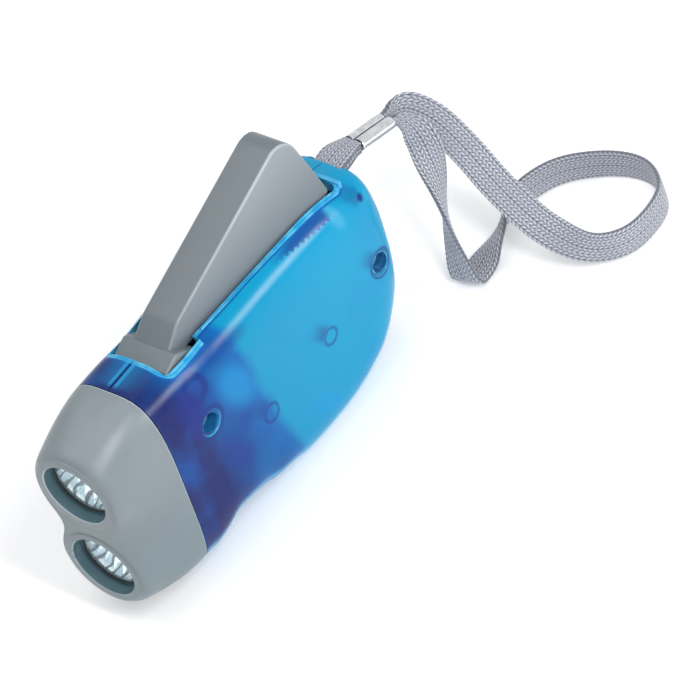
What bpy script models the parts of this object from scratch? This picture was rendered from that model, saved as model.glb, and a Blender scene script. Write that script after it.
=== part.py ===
"""Dynamo flashlight: two clear blue housing halves, a grey two-lens head, a squeeze lever that
drives a gear train and a small generator, and a braided wrist strap.

Lengths are in metres. The design frame has its origin at the seam between head and housing, on the
middle plane: +X points out of the head, +Y to the side that carries the screw heads, +Z to the lever.
The whole assembly hangs under one empty, so that the world origin is on the floor under the middle.
"""

import math

import bmesh
import bpy
from mathutils import Matrix, Vector

# Housing
BODY_LENGTH = 0.0872
BODY_HALF_WIDTH = 0.0140
BELLY_DEPTH = 0.0306
BODY_RISE = 0.0280
WALL = 0.0016
PARTING_GAP = 0.0003
RIM_DROP = 0.0023
RIM_RISE = BODY_RISE - RIM_DROP
SLOT_FRONT = 0.0104
SLOT_TAIL = 0.0092
SLOT_BACK = BODY_LENGTH - SLOT_TAIL
SLOT_HALF_WIDTH = 0.0067
SLOT_TAIL_HALF_WIDTH = 0.0089
FOOT_SLOT_BACK = 0.0246
FOOT_SLOT_HALF_WIDTH = 0.0088
SLOT_CUT = 0.0130
SLOT_DEPTH = BODY_RISE - SLOT_CUT
SLOT_CORNER = 0.0020
LIP_THICKNESS = 0.0017
LIP_DEPTH = 0.0040
LIP_FRONT = 0.0260
LIP_TAIL = 0.0060
LIP_BACK = SLOT_BACK - LIP_TAIL

# Clearances between pieces
SEAT_GAP = 0.0003
SHAFT_GAP = 0.0001
OVERRUN = 0.0010
WELD_DISTANCE = 0.000001
TRIM_DISTANCE = 0.0000001

# Head
HEAD_LENGTH = 0.0201
HEAD_WALL = 0.0018
LENS_SPACING = 0.0250
LOBE_REACH = 0.0246
LOBE_HALF_WIDTH = 0.0122
BORE_RADIUS = 0.0088
BORE_WALL = 0.0015
BORE_DEPTH = 0.0150
BORE_CHAMFER = 0.0006
SPIGOT_LENGTH = 0.0026
SPIGOT_WALL = 0.0012
SPIGOT_ROOT = 0.0015

# Optics
RING_DEPTH = 0.0030
RING_THICKNESS = 0.0007
RING_WIDTH = 0.0009
LENS_THICKNESS = 0.0009
FLANGE_THICKNESS = 0.0005
REFLECTOR_WALL = 0.0006
REFLECTOR_DEPTH = 0.0102
REFLECTOR_NECK_RADIUS = 0.0031
LED_RADIUS = 0.0025
LED_LENGTH = 0.0078
LED_FLANGE_RADIUS = 0.00285
LED_FLANGE_THICKNESS = 0.0010
LED_BOARD_THICKNESS = 0.0010
LED_BOARD_HALF_WIDTH = 0.0078
LED_BOARD_HALF_HEIGHT = 0.0190

# Lever and its hinge
HINGE_BACK = 0.0138
HINGE_RISE = 0.0193
HINGE_PIN_RADIUS = 0.0015
HINGE_ROOM_RADIUS = 0.0035
HINGE_ROOM_HALF_WIDTH = 0.0049
LEVER_HALF_WIDTH = 0.0052
LEVER_LEAN = 0.135
LEVER_WALL = 0.0014
LEVER_ROOF = 0.0016
LEVER_EDGE_ROUND = 0.0009
LEVER_TAIL_BACK = 0.0760
LEVER_CREST_BACK = 0.0716
LEVER_CREST_RISE = 0.0469
LEVER_KNEE_BACK = 0.0221
LEVER_KNEE_RISE = 0.0310
LEVER_FOOT_BACK = 0.0110
LEVER_FOOT_RISE = 0.0252
LEVER_STEP_BACK = 0.0163
LEVER_STEP_RISE = 0.0273
LEVER_SKIRT_RISE = 0.0238
SECTOR_WEB_RISE = 0.0212
LEVER_TRAVEL_DEG = 16.2
LEVER_RELIEF_GAP = 0.0005
LEVER_RELIEF_STEPS = 48
LEVER_CREST_ROUND = 0.0058
LEVER_KNEE_ROUND = 0.0060
LEVER_STEP_ROUND = 0.0010
FOOT_HALF_WIDTH = 0.0082
EAR_BACK = 0.0224
EAR_NOTCH_RISE = 0.0236
EAR_LOW_RISE = 0.0200
FOOT_DEPTH = 0.0038
FOOT_ROUND = 0.0022

# Sector plate under the lever
SECTOR_HALF_THICKNESS = 0.0015
SECTOR_RADIUS = 0.0575
SECTOR_ARM_FIRST_DEG = 4.0
SECTOR_ARM_LAST_DEG = 34.0
SECTOR_ROOT_DEG = 9.0
SECTOR_WEB_INNER = 0.0400
SECTOR_CREST_SHARE = 0.32
SECTOR_BACK_DEG = -18.0
SECTOR_BACK_STEPS = 16

# Gear train
ADDENDUM_SHARE = 0.85
DEDENDUM_SHARE = 1.05
TOOTH_THICKNESS_SHARE = 0.40
TOOTH_ROOT_HALF_SHARE = 0.72
TOOTH_TIP_HALF_SHARE = 0.34
DRIVE_MODULE = 0.0010
SECTOR_TEETH = 104
DRIVE_PINION_TEETH = 9
TRAIN_MODULE = 0.0006
MAIN_GEAR_TEETH = 66
STEP_PINION_TEETH = 16
STEP_GEAR_TEETH = 40
ROTOR_PINION_TEETH = 10
AXLE_RADIUS = 0.0014
TRAIN_AXLE_REACH = 0.0112
MAIN_GEAR_LOW = 0.0021
MAIN_GEAR_HIGH = 0.0041
STEP_GEAR_LOW = 0.0048
STEP_GEAR_HIGH = 0.0064
HUB_RADIUS = 0.0025
MAIN_GEAR_LIGHTENING_RADIUS = 0.0030
MAIN_GEAR_LIGHTENING_PITCH = 0.0118
RATCHET_RADIUS = 0.0050
RATCHET_STEP = 0.0008
RATCHET_LOW = 0.0045
RATCHET_HIGH = 0.0056
RATCHET_COUNT = 10
PAWL_WIDTH = 0.0009

# Directions from shaft to shaft, in degrees below the line that points to the tail
MAIN_AXLE_DEG = 29.5
STEP_AXLE_DEG = 178.6
ROTOR_AXLE_DEG = 155.0

# Generator
ROTOR_SHAFT_RADIUS = 0.0010
ROTOR_SHAFT_END_GAP = 0.0022
ROTOR_SHAFT_LOW = ROTOR_SHAFT_END_GAP - BODY_HALF_WIDTH
ROTOR_SHAFT_HIGH = 0.0094
FLYWHEEL_RADIUS = 0.0092
FLYWHEEL_WALL = 0.0009
FLYWHEEL_LOW = -0.0090
FLYWHEEL_HIGH = -0.0024
FLYWHEEL_WEB = 0.0010
FLYWHEEL_HUB_RADIUS = 0.0024
MAGNET_THICKNESS = 0.0011
CLAW_RADIUS = 0.0056
CLAW_PLATE = 0.0007
CLAW_LOW = -0.0097
CLAW_HIGH = -0.0042
CLAW_HUB_RADIUS = 0.0022
CLAW_COUNT = 5
CLAW_FINGER_WIDTH = 0.0013
CLAW_FINGER_THICKNESS = 0.0007
BOBBIN_WALL = 0.0005
WINDING_RADIUS = 0.0048
STATOR_POST_RADIUS = 0.0032

# Posts, screws and bearings in the housing
BEARING_RADIUS = 0.0026
POST_RADIUS = 0.0026
POST_HEAD_RADIUS = 0.0036
SCREW_HEAD_RADIUS = 0.0023
SCREW_HEAD_HEIGHT = 0.0016
SCREW_RADIUS = 0.0011
SCREW_SEAT = 0.0072
SCREW_END = -0.0098
SCREW_SLOT_WIDTH = 0.0006
SCREW_SLOT_DEPTH = 0.0008
COUNTERBORE_RADIUS = 0.0026
CLEARANCE_BORE_RADIUS = 0.0014
FRONT_SCREW_BACK = 0.0140
FRONT_SCREW_RISE = 0.0087
TAIL_SCREW_INSET = 0.0090
TAIL_SCREW_BACK = BODY_LENGTH - TAIL_SCREW_INSET
TAIL_SCREW_DROP = 0.0007
RECESS_RING_RADIUS = 0.0036
RECESS_DEPTH = 0.0004

# Strap post at the tail
STRAP_PIN_INSET = 0.0078
STRAP_PIN_BACK = BODY_LENGTH - STRAP_PIN_INSET
STRAP_PIN_DROP = 0.0110
STRAP_PIN_RISE = BODY_RISE - STRAP_PIN_DROP
STRAP_PIN_RADIUS = 0.0012
STRAP_PIN_REACH = 0.0092
STRAP_BOSS_RADIUS = 0.0024
STRAP_BOSS_START = 0.0066
EXIT_HALF_WIDTH = 0.0050
EXIT_INSET = 0.0058
EXIT_FRONT = BODY_LENGTH - EXIT_INSET
EXIT_LOW_DROP = 0.0119
EXIT_LOW = BODY_RISE - EXIT_LOW_DROP
EXIT_HIGH_DROP = 0.0056
EXIT_HIGH = BODY_RISE - EXIT_HIGH_DROP

# Electrics
BOARD_BACK = 0.0052
BOARD_THICKNESS = 0.0010
BOARD_SIDE_GAP = 0.0020
BOARD_HALF_WIDTH = BODY_HALF_WIDTH - WALL - BOARD_SIDE_GAP
BOARD_LOW = -0.0170
BOARD_HIGH = 0.0080
RIB_START = 0.0085
RIB_THICKNESS = 0.0009
RIB_LOW = -0.0090
RIB_HIGH = 0.0010
DIODE_RADIUS = 0.0009
DIODE_LENGTH = 0.0036
DIODE_PITCH = 0.0046
CAPACITOR_RADIUS = 0.0022
CAPACITOR_LENGTH = 0.0042
CELL_RADIUS = 0.0094
CELL_THICKNESS = 0.0029
CELL_INSET = 0.0222
CELL_BACK = BODY_LENGTH - CELL_INSET
CELL_FLOOR_GAP = 0.0161
CELL_DROP = BELLY_DEPTH - CELL_FLOOR_GAP
CELL_LOW = -0.0088
CELL_EDGE_ROUND = 0.0004
CRADLE_WALL = 0.0010
CRADLE_TOP = -0.0030
CONTACT_THICKNESS = 0.0003
CONTACT_HALF_WIDTH = 0.0022
CONTACT_REACH = 0.0070

# Slide switch on the far side
SWITCH_BACK = 0.0340
SWITCH_RISE = 0.0050
SWITCH_POCKET_LENGTH = 0.0150
SWITCH_POCKET_HEIGHT = 0.0076
SWITCH_POCKET_DEPTH = 0.0011
SWITCH_PAD = 0.0020
SWITCH_TRAVEL = 0.0036
SLIDER_LENGTH = 0.0092
SLIDER_HEIGHT = 0.0066
SLIDER_THICKNESS = 0.0005
SLIDER_RIB_COUNT = 4
SLIDER_RIB_WIDTH = 0.0006
SLIDER_RIB_PITCH = 0.0016
SLIDER_RIB_HEIGHT = 0.0003
SLIDER_STEM = 0.0020
SWITCH_BODY_LENGTH = 0.0120
SWITCH_BODY_HEIGHT = 0.0056
SWITCH_BODY_DEPTH = 0.0036

# Return spring
SPRING_RADIUS = 0.0027
SPRING_WIRE = 0.0006
SPRING_TURNS = 2.5
SPRING_LOW = 0.0023
SPRING_PITCH = 0.00072
SPRING_ARM = 0.0085
SPRING_TURN_POINTS = 10

# Wrist strap
STRAP_WIDTH = 0.0085
STRAP_THICKNESS = 0.0015
FERRULE_LENGTH = 0.0120
FERRULE_WALL = 0.0003
FERRULE_BARREL_RADIUS = 0.00165
FERRULE_BARREL_OFFSET = 0.0014
FERRULE_BACK = 0.1003
FERRULE_RISE = 0.0167
FERRULE_SLOPE_DEG = 17.0

# Counts of facets
ROUND_STEPS = 16
FINE_STEPS = 28
POST_STEPS = 14
BOWL_STEPS = 5

# Outline of the housing on the middle plane, the edge of its flat side, and the roundness between
# them. Each row is back along the body, rise (a share of BODY_RISE) or depth (a share of
# BELLY_DEPTH, negative), the same two for the flat, and the exponent of the rounding.
BODY_ROW_SHARES = (
    (-0.138, -0.880, -0.138, -0.196, 4.2),
    (0.000, -0.880, 0.000, -0.196, 4.2),
    (0.062, -0.894, 0.069, -0.245, 4.2),
    (0.110, -0.878, 0.115, -0.294, 3.8),
    (0.161, -0.838, 0.160, -0.327, 3.5),
    (0.214, -0.845, 0.207, -0.392, 3.3),
    (0.273, -0.872, 0.264, -0.458, 3.1),
    (0.290, -0.892, 0.287, -0.490, 3.0),
    (0.334, -0.931, 0.332, -0.556, 3.0),
    (0.395, -0.961, 0.395, -0.588, 3.0),
    (0.466, -1.020, 0.466, -0.602, 3.0),
    (0.539, -1.036, 0.539, -0.608, 3.0),
    (0.612, -1.036, 0.607, -0.608, 3.0),
    (0.691, -1.014, 0.679, -0.600, 3.0),
    (0.782, -0.941, 0.752, -0.556, 3.0),
    (0.854, -0.863, 0.810, -0.458, 2.9),
    (0.928, -0.686, 0.847, -0.310, 2.7),
    (0.973, -0.467, 0.867, -0.163, 2.8),
    (0.993, -0.180, 0.877, -0.016, 3.0),
    (1.000, 0.207, 0.877, 0.143, 3.2),
    (0.999, 0.482, 0.871, 0.268, 3.3),
    (0.988, 0.700, 0.859, 0.343, 3.3),
    (0.966, 0.796, 0.840, 0.386, 3.2),
    (0.923, 0.846, 0.810, 0.414, 3.0),
    (0.865, 0.914, 0.764, 0.429, 2.8),
    (0.777, 0.964, 0.700, 0.429, 2.7),
    (0.599, 0.993, 0.574, 0.429, 2.6),
    (0.436, 1.000, 0.436, 0.429, 2.6),
    (0.298, 1.000, 0.298, 0.411, 2.5),
    (0.184, 1.000, 0.184, 0.286, 2.6),
    (0.091, 1.000, 0.091, 0.071, 3.3),
    (0.000, 1.000, 0.000, -0.065, 3.6),
    (-0.138, 1.000, -0.138, -0.098, 3.6),
)
BODY_RING_COUNT = 6
BODY_POINTS_PER_ROW = 2

# Half of the front outline of the head, from its top round one side to its bottom: shares of
# LOBE_HALF_WIDTH and of LOBE_REACH.
HEAD_FRONT_SHARES = (
    (0.000, 1.000),
    (0.205, 0.990),
    (0.400, 0.960),
    (0.585, 0.910),
    (0.745, 0.838),
    (0.870, 0.748),
    (0.960, 0.640),
    (1.000, 0.510),
    (0.980, 0.370),
    (0.900, 0.235),
    (0.800, 0.120),
    (0.735, 0.020),
    (0.735, -0.070),
    (0.790, -0.165),
    (0.885, -0.270),
    (0.970, -0.390),
    (1.000, -0.510),
    (0.960, -0.640),
    (0.870, -0.748),
    (0.745, -0.838),
    (0.585, -0.910),
    (0.400, -0.960),
    (0.205, -0.990),
    (0.000, -1.000),
)
# Stations along the head: share of its length, share of the front outline in the section, and the
# share of its size that a section keeps where the front edge is rounded.
HEAD_STATION_SHARES = (
    (0.008, 0.00, 1.000),
    (0.150, 0.03, 1.000),
    (0.400, 0.20, 1.000),
    (0.650, 0.50, 1.000),
    (0.850, 0.82, 1.000),
    (0.940, 0.95, 0.988),
    (0.985, 1.00, 0.955),
    (1.000, 1.00, 0.925),
)
HEAD_TOP_POWER = 3.6
HEAD_BOTTOM_POWER = 4.2
HEAD_MIDDLE_SHARE = -0.065
HEAD_BOTTOM_SHARE = 0.880
HEAD_LOW_MIDDLE_SHARE = 0.196

# The strap's routes, in the design frame. The loop has a second table with the direction that the
# flat side of the strap faces at each point.
NECK_ROUTE = (
    (-0.0943, 0.0, 0.0193),
    (-0.0915, 0.0, 0.0203),
    (-0.0880, 0.0, 0.0210),
    (-0.0845, 0.0, 0.0205),
    (-0.0815, 0.0, 0.0193),
    (-0.0794, 0.0, 0.01925),
    (-0.0777, 0.0, 0.0184),
    (-0.0772, 0.0, 0.0170),
    (-0.0777, 0.0, 0.0155),
    (-0.0794, 0.0, 0.01475),
    (-0.0812, 0.0, 0.0156),
    (-0.0828, 0.0, 0.0173),
    (-0.0846, 0.0, 0.0187),
    (-0.0880, 0.0, 0.0191),
    (-0.0915, 0.0, 0.0184),
    (-0.0938, 0.0, 0.0176),
)
LOOP_ROUTE = (
    (-0.1064, 0.0014, 0.0148),
    (-0.1074, 0.0016, 0.0146),
    (-0.1085, 0.0026, 0.0138),
    (-0.1091, 0.0047, 0.0120),
    (-0.1088, 0.0070, 0.0090),
    (-0.1077, 0.0086, 0.0045),
    (-0.1067, 0.0097, -0.0015),
    (-0.1050, 0.0108, -0.0080),
    (-0.1026, 0.0122, -0.0165),
    (-0.1002, 0.0144, -0.0246),
    (-0.1003, 0.0152, -0.0278),
    (-0.1024, 0.0152, -0.0291),
    (-0.1074, 0.0150, -0.0288),
    (-0.1140, 0.0144, -0.0270),
    (-0.1247, 0.0124, -0.0260),
    (-0.1368, 0.0164, -0.0262),
    (-0.1444, 0.0275, -0.0262),
    (-0.1456, 0.0385, -0.0262),
    (-0.1390, 0.0466, -0.0262),
    (-0.1264, 0.0468, -0.0262),
    (-0.1183, 0.0405, -0.0244),
    (-0.1152, 0.0312, -0.0185),
    (-0.1146, 0.0217, -0.0088),
    (-0.1153, 0.0132, 0.0012),
    (-0.1153, 0.0063, 0.0084),
    (-0.1136, 0.0010, 0.0122),
    (-0.1110, -0.0013, 0.0134),
    (-0.1085, -0.0015, 0.0142),
    (-0.1064, -0.0014, 0.0148),
)
LOOP_FACING = (
    (0.0, 1.0, 0.0),
    (0.0, 1.0, 0.0),
    (0.15, 0.85, 0.35),
    (0.4, 0.5, 0.65),
    (0.5, 0.4, 0.4),
    (0.3, 0.8, 0.1),
    (-0.15, 0.95, 0.0),
    (-0.55, 0.8, -0.05),
    (-0.85, 0.45, 0.0),
    (-0.95, -0.05, 0.1),
    (-0.8, -0.2, 0.55),
    (-0.15, -0.05, 1.0),
    (0.0, -0.15, 1.0),
    (0.0, -0.7, 0.75),
    (0.0, -1.0, 0.08),
    (-0.55, -0.83, 0.0),
    (-0.93, -0.35, 0.0),
    (-1.0, 0.15, 0.0),
    (-0.4, 0.92, 0.0),
    (0.25, 0.97, 0.0),
    (0.7, 0.72, 0.1),
    (0.5, 0.75, 0.4),
    (0.42, 0.71, 0.51),
    (0.42, 0.71, 0.51),
    (0.42, 0.66, 0.56),
    (0.4, 0.6, 0.66),
    (0.25, 0.8, 0.45),
    (0.05, 1.0, 0.1),
    (0.0, 1.0, 0.0),
)
LOOP_STEPS_PER_POINT = 2
STRAP_SECTION_SHARES = (
    (-1.00, 0.00), (-0.88, 0.85), (0.00, 1.00), (0.88, 0.85),
    (1.00, 0.00), (0.88, -0.85), (0.00, -1.00), (-0.88, -0.85),
)
LOOP_PINCH_LENGTH = 0.0090
LOOP_PINCH_WIDTH_SHARE = 0.30
LOOP_PINCH_THICKNESS_SHARE = 1.5
NECK_PINCH_LENGTH = 0.0065
NECK_PINCH_WIDTH_SHARE = 0.66

PARTS_COLLECTION = "dynamo_flashlight"
CUTTERS_COLLECTION = "dynamo_flashlight_cutters"

# Colours: base colour, roughness, metallic, transmission
FINISHES = {
    "blue_clear": ((0.02, 0.33, 0.80), 0.18, 0.0, 0.65),
    "grey_plastic": ((0.30, 0.34, 0.36), 0.45, 0.0, 0.0),
    "white_nylon": ((0.80, 0.82, 0.80), 0.45, 0.0, 0.0),
    "steel": ((0.62, 0.63, 0.65), 0.28, 1.0, 0.0),
    "chrome": ((0.86, 0.87, 0.88), 0.08, 1.0, 0.0),
    "black_rubber": ((0.02, 0.02, 0.02), 0.70, 0.0, 0.0),
    "clear_lens": ((0.92, 0.96, 0.98), 0.05, 0.0, 0.95),
    "led_resin": ((0.80, 0.90, 0.98), 0.10, 0.0, 0.60),
    "board_green": ((0.05, 0.28, 0.12), 0.50, 0.0, 0.0),
    "copper_wire": ((0.72, 0.30, 0.14), 0.35, 0.6, 0.0),
    "magnet_dark": ((0.10, 0.10, 0.11), 0.55, 0.2, 0.0),
    "strap_braid": ((0.42, 0.43, 0.47), 0.85, 0.0, 0.0),
    "red_wire": ((0.62, 0.04, 0.03), 0.45, 0.0, 0.0),
    "black_wire": ((0.03, 0.03, 0.03), 0.45, 0.0, 0.0),
}

HALF_TURN = math.pi
QUARTER_TURN = math.pi / 2
FULL_TURN = math.tau


def tail_direction(degrees):
    """Unit vector in the X-Z plane, turned by degrees below the line that points to the tail."""
    angle = math.radians(degrees)
    return Vector((-math.cos(angle), 0, -math.sin(angle)))


HINGE = Vector((-HINGE_BACK, 0, HINGE_RISE))
MAIN_AXLE = HINGE + tail_direction(MAIN_AXLE_DEG) * DRIVE_MODULE * (SECTOR_TEETH - DRIVE_PINION_TEETH) / 2
STEP_AXLE = MAIN_AXLE + (
    tail_direction(STEP_AXLE_DEG) * TRAIN_MODULE * (MAIN_GEAR_TEETH + STEP_PINION_TEETH) / 2)
ROTOR_AXLE = STEP_AXLE + (
    tail_direction(ROTOR_AXLE_DEG) * TRAIN_MODULE * (STEP_GEAR_TEETH + ROTOR_PINION_TEETH) / 2)
FRONT_SCREW = Vector((-FRONT_SCREW_BACK, 0, FRONT_SCREW_RISE))
TAIL_SCREW = Vector((-TAIL_SCREW_BACK, 0, -TAIL_SCREW_DROP))
STRAP_PIN = Vector((-STRAP_PIN_BACK, 0, STRAP_PIN_RISE))
CELL_CENTRE = Vector((-CELL_BACK, 0, -CELL_DROP))
SWITCH_CENTRE = Vector((-SWITCH_BACK, 0, SWITCH_RISE))
INNER_HALF_WIDTH = BODY_HALF_WIDTH - WALL


def clear_scene():
    """Remove what the file starts with."""
    for item in list(bpy.data.objects):
        bpy.data.objects.remove(item, do_unlink=True)


def make_collection(name):
    collection = bpy.data.collections.new(name)
    bpy.context.scene.collection.children.link(collection)
    return collection


def finish(name, key):
    """A material of its own for one sub-part."""
    colour, roughness, metallic, transmission = FINISHES[key]
    material = bpy.data.materials.new(name)
    material.use_nodes = True
    shader = material.node_tree.nodes["Principled BSDF"]
    shader.inputs["Base Color"].default_value = (*colour, 1.0)
    shader.inputs["Roughness"].default_value = roughness
    shader.inputs["Metallic"].default_value = metallic
    shader.inputs["Transmission Weight"].default_value = transmission
    material.diffuse_color = (*colour, 1.0)
    return material


def add_object(name, mesh, key, parent, spot=(0, 0, 0)):
    """A named sub-part with its own material, under its parent empty."""
    item = bpy.data.objects.new(name, mesh)
    bpy.data.collections[PARTS_COLLECTION].objects.link(item)
    item.parent = parent
    item.location = spot
    mesh.materials.clear()
    mesh.materials.append(finish(name, key))
    return item


def add_cutter(name, mesh, parent, spot=(0, 0, 0)):
    """A shape that only cuts or joins, and is no sub-part itself."""
    item = bpy.data.objects.new(name, mesh)
    bpy.data.collections[CUTTERS_COLLECTION].objects.link(item)
    item.parent = parent
    item.location = spot
    item.hide_render = True
    item.display_type = "WIRE"
    return item


def add_empty(name, spot, parent=None):
    item = bpy.data.objects.new(name, None)
    bpy.data.collections[PARTS_COLLECTION].objects.link(item)
    item.location = spot
    item.parent = parent
    return item


def combine(item, other, operation):
    """Add one Boolean to an object."""
    modifier = item.modifiers.new(f"{operation.lower()}_{other.name}", "BOOLEAN")
    modifier.operation = operation
    modifier.object = other
    modifier.solver = "EXACT"
    return modifier


def mesh_from(bm, name, smooth_deg=35.0):
    """Turn a bmesh into a mesh with smooth round faces."""
    bmesh.ops.recalc_face_normals(bm, faces=bm.faces)
    mesh = bpy.data.meshes.new(name)
    bm.to_mesh(mesh)
    bm.free()
    mesh.shade_smooth()
    mesh.set_sharp_from_angle(angle=math.radians(smooth_deg))
    return mesh


def rod_mesh(name, radius, low, high, end_radius=None, steps=ROUND_STEPS, along="Y"):
    """A cylinder or cone along an axis, from low to high."""
    bm = bmesh.new()
    turn = Matrix.Rotation(-QUARTER_TURN, 4, "X") if along == "Y" else Matrix.Rotation(QUARTER_TURN, 4, "Y")
    middle = (low + high) / 2
    shift = (0, middle, 0) if along == "Y" else (middle, 0, 0)
    bmesh.ops.create_cone(
        bm, cap_ends=True, segments=steps, depth=high - low,
        radius1=radius, radius2=radius if end_radius is None else end_radius,
        matrix=Matrix.Translation(shift) @ turn,
    )
    return mesh_from(bm, name)


def box_mesh(name, low, high):
    """A box from its low corner to its high corner."""
    bm = bmesh.new()
    size = [high[axis] - low[axis] for axis in range(3)]
    middle = [(high[axis] + low[axis]) / 2 for axis in range(3)]
    bmesh.ops.create_cube(bm, size=1.0, matrix=Matrix.Translation(middle) @ Matrix.Diagonal((*size, 1)))
    return mesh_from(bm, name)


def plate_mesh(name, loops, low, high, along="Y"):
    """A flat outline with any holes, as a filled 2D curve given thickness along Y or Z."""
    curve = bpy.data.curves.new(name, "CURVE")
    curve.dimensions = "2D"
    curve.fill_mode = "BOTH"
    curve.extrude = (high - low) / 2
    for loop in loops:
        spline = curve.splines.new("POLY")
        spline.points.add(len(loop) - 1)
        for point, place in zip(spline.points, loop):
            point.co = (place[0], place[1], 0, 1)
        spline.use_cyclic_u = True
    holder = bpy.data.objects.new(name, curve)
    bpy.context.scene.collection.objects.link(holder)
    bpy.context.view_layer.update()
    mesh = bpy.data.meshes.new_from_object(holder.evaluated_get(bpy.context.evaluated_depsgraph_get()))
    bpy.data.objects.remove(holder, do_unlink=True)
    bpy.data.curves.remove(curve)
    bm = bmesh.new()
    bm.from_mesh(mesh)
    bpy.data.meshes.remove(mesh)
    bmesh.ops.remove_doubles(bm, verts=bm.verts, dist=WELD_DISTANCE)
    middle = (low + high) / 2
    if along == "Y":
        turn = Matrix.Translation((0, middle, 0)) @ Matrix.Rotation(QUARTER_TURN, 4, "X")
    else:
        turn = Matrix.Translation((0, 0, middle))
    bmesh.ops.transform(bm, matrix=turn, verts=bm.verts)
    return mesh_from(bm, name)


def turned(name, profile, key, parent, spot, direction, steps=FINE_STEPS):
    """A piece turned from a profile of (radius, height) points, with its axis along a direction.

    The profile runs down its outer side. A first and last point off the axis close a ring.
    """
    mesh = bpy.data.meshes.new(name)
    bm = bmesh.new()
    points = [bm.verts.new((radius, 0, height)) for radius, height in profile]
    for first, second in zip(points, points[1:]):
        bm.edges.new((first, second))
    if profile[0][0] > 0:
        bm.edges.new((points[-1], points[0]))
    bm.to_mesh(mesh)
    bm.free()
    item = add_object(name, mesh, key, parent, spot)
    item.rotation_mode = "QUATERNION"
    item.rotation_quaternion = Vector((0, 0, 1)).rotation_difference(Vector(direction))
    screw = item.modifiers.new("turn", "SCREW")
    screw.steps = steps
    screw.render_steps = steps
    screw.use_merge_vertices = True
    screw.merge_threshold = WELD_DISTANCE
    screw.use_smooth_shade = True
    return item


def circle(radius, steps=ROUND_STEPS, centre=(0, 0), phase=0.0):
    """Points round a circle in the X-Z plane."""
    return [
        (
            centre[0] + radius * math.cos(phase + FULL_TURN * step / steps),
            centre[1] + radius * math.sin(phase + FULL_TURN * step / steps),
        )
        for step in range(steps)
    ]


def filleted(corners, radii, steps=5):
    """A closed outline with its corners rounded to the given radii."""
    outline = []
    count = len(corners)
    for index, radius in enumerate(radii):
        corner = Vector(corners[index])
        before = Vector(corners[index - 1]) - corner
        after = Vector(corners[(index + 1) % count]) - corner
        if radius <= 0:
            outline.append(tuple(corner))
            continue
        half = before.angle(after) / 2
        tangent = min(radius / math.tan(half), before.length / 2, after.length / 2)
        round_radius = tangent * math.tan(half)
        inward = (before.normalized() + after.normalized()).normalized()
        centre = corner + inward * (round_radius / math.sin(half))
        first = corner + before.normalized() * tangent - centre
        last = corner + after.normalized() * tangent - centre
        for step in range(steps + 1):
            blend = first.lerp(last, step / steps).normalized() * round_radius
            outline.append(tuple(centre + blend))
    return outline


def smooth_closed(rows, steps):
    """A closed Catmull-Rom curve through rows of numbers."""
    count = len(rows)
    result = []
    for index in range(count):
        p0, p1, p2, p3 = (rows[(index + offset) % count] for offset in (-1, 0, 1, 2))
        for step in range(steps):
            t = step / steps
            result.append(tuple(spline_value(a, b, c, d, t) for a, b, c, d in zip(p0, p1, p2, p3)))
    return result


def smooth_open(rows, steps):
    """An open Catmull-Rom curve through rows of numbers, with its ends kept."""
    last = len(rows) - 1
    result = []
    for index in range(last):
        p0 = rows[max(index - 1, 0)]
        p1 = rows[index]
        p2 = rows[index + 1]
        p3 = rows[min(index + 2, last)]
        for step in range(steps):
            t = step / steps
            result.append(tuple(spline_value(a, b, c, d, t) for a, b, c, d in zip(p0, p1, p2, p3)))
    result.append(tuple(rows[last]))
    return result


def spline_value(a, b, c, d, t):
    """One number of a Catmull-Rom curve between b and c."""
    linear = (c - a) * t
    square = (2 * a - 5 * b + 4 * c - d) * t * t
    cube = (3 * b - a - 3 * c + d) * t * t * t
    return b + (linear + square + cube) / 2


def bridge(bm, rings):
    """Faces between rings that have as many points each."""
    count = len(rings[0])
    for lower, upper in zip(rings, rings[1:]):
        for index in range(count):
            following = (index + 1) % count
            bm.faces.new((lower[index], lower[following], upper[following], upper[index]))


def tooth_corners(root, tip):
    """The four corners of a tooth: how far out, and how far off its middle."""
    wide, narrow = TOOTH_ROOT_HALF_SHARE, TOOTH_TIP_HALF_SHARE
    return ((root, wide), (tip, narrow), (tip, -narrow), (root, -wide))


def gear_loop(teeth, module, phase):
    """The outline of a spur gear with a tooth centred on the angle phase."""
    pitch = FULL_TURN / teeth
    radius = module * teeth / 2
    tip = radius + module * ADDENDUM_SHARE
    root = radius - module * DEDENDUM_SHARE
    loop = []
    for tooth in range(teeth):
        middle = phase + tooth * pitch
        for reach, half_share in tooth_corners(root, tip):
            angle = middle - pitch * TOOTH_THICKNESS_SHARE * half_share
            loop.append((reach * math.cos(angle), reach * math.sin(angle)))
    return loop


def axis_angle(start, end):
    """Angle in the X-Z plane of the line from one axle to another."""
    return math.atan2(end.z - start.z, end.x - start.x)


def body_rows():
    """The housing's outline and the edge of its flat side, as (x, z, flat x, flat z, power)."""
    rows = []
    for back, rise, flat_back, flat_rise, power in BODY_ROW_SHARES:
        height = rise * (BODY_RISE if rise > 0 else BELLY_DEPTH)
        flat_height = flat_rise * (BODY_RISE if flat_rise > 0 else BELLY_DEPTH)
        rows.append((-back * BODY_LENGTH, height, -flat_back * BODY_LENGTH, flat_height, power))
    return smooth_closed(rows, BODY_POINTS_PER_ROW)


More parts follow.
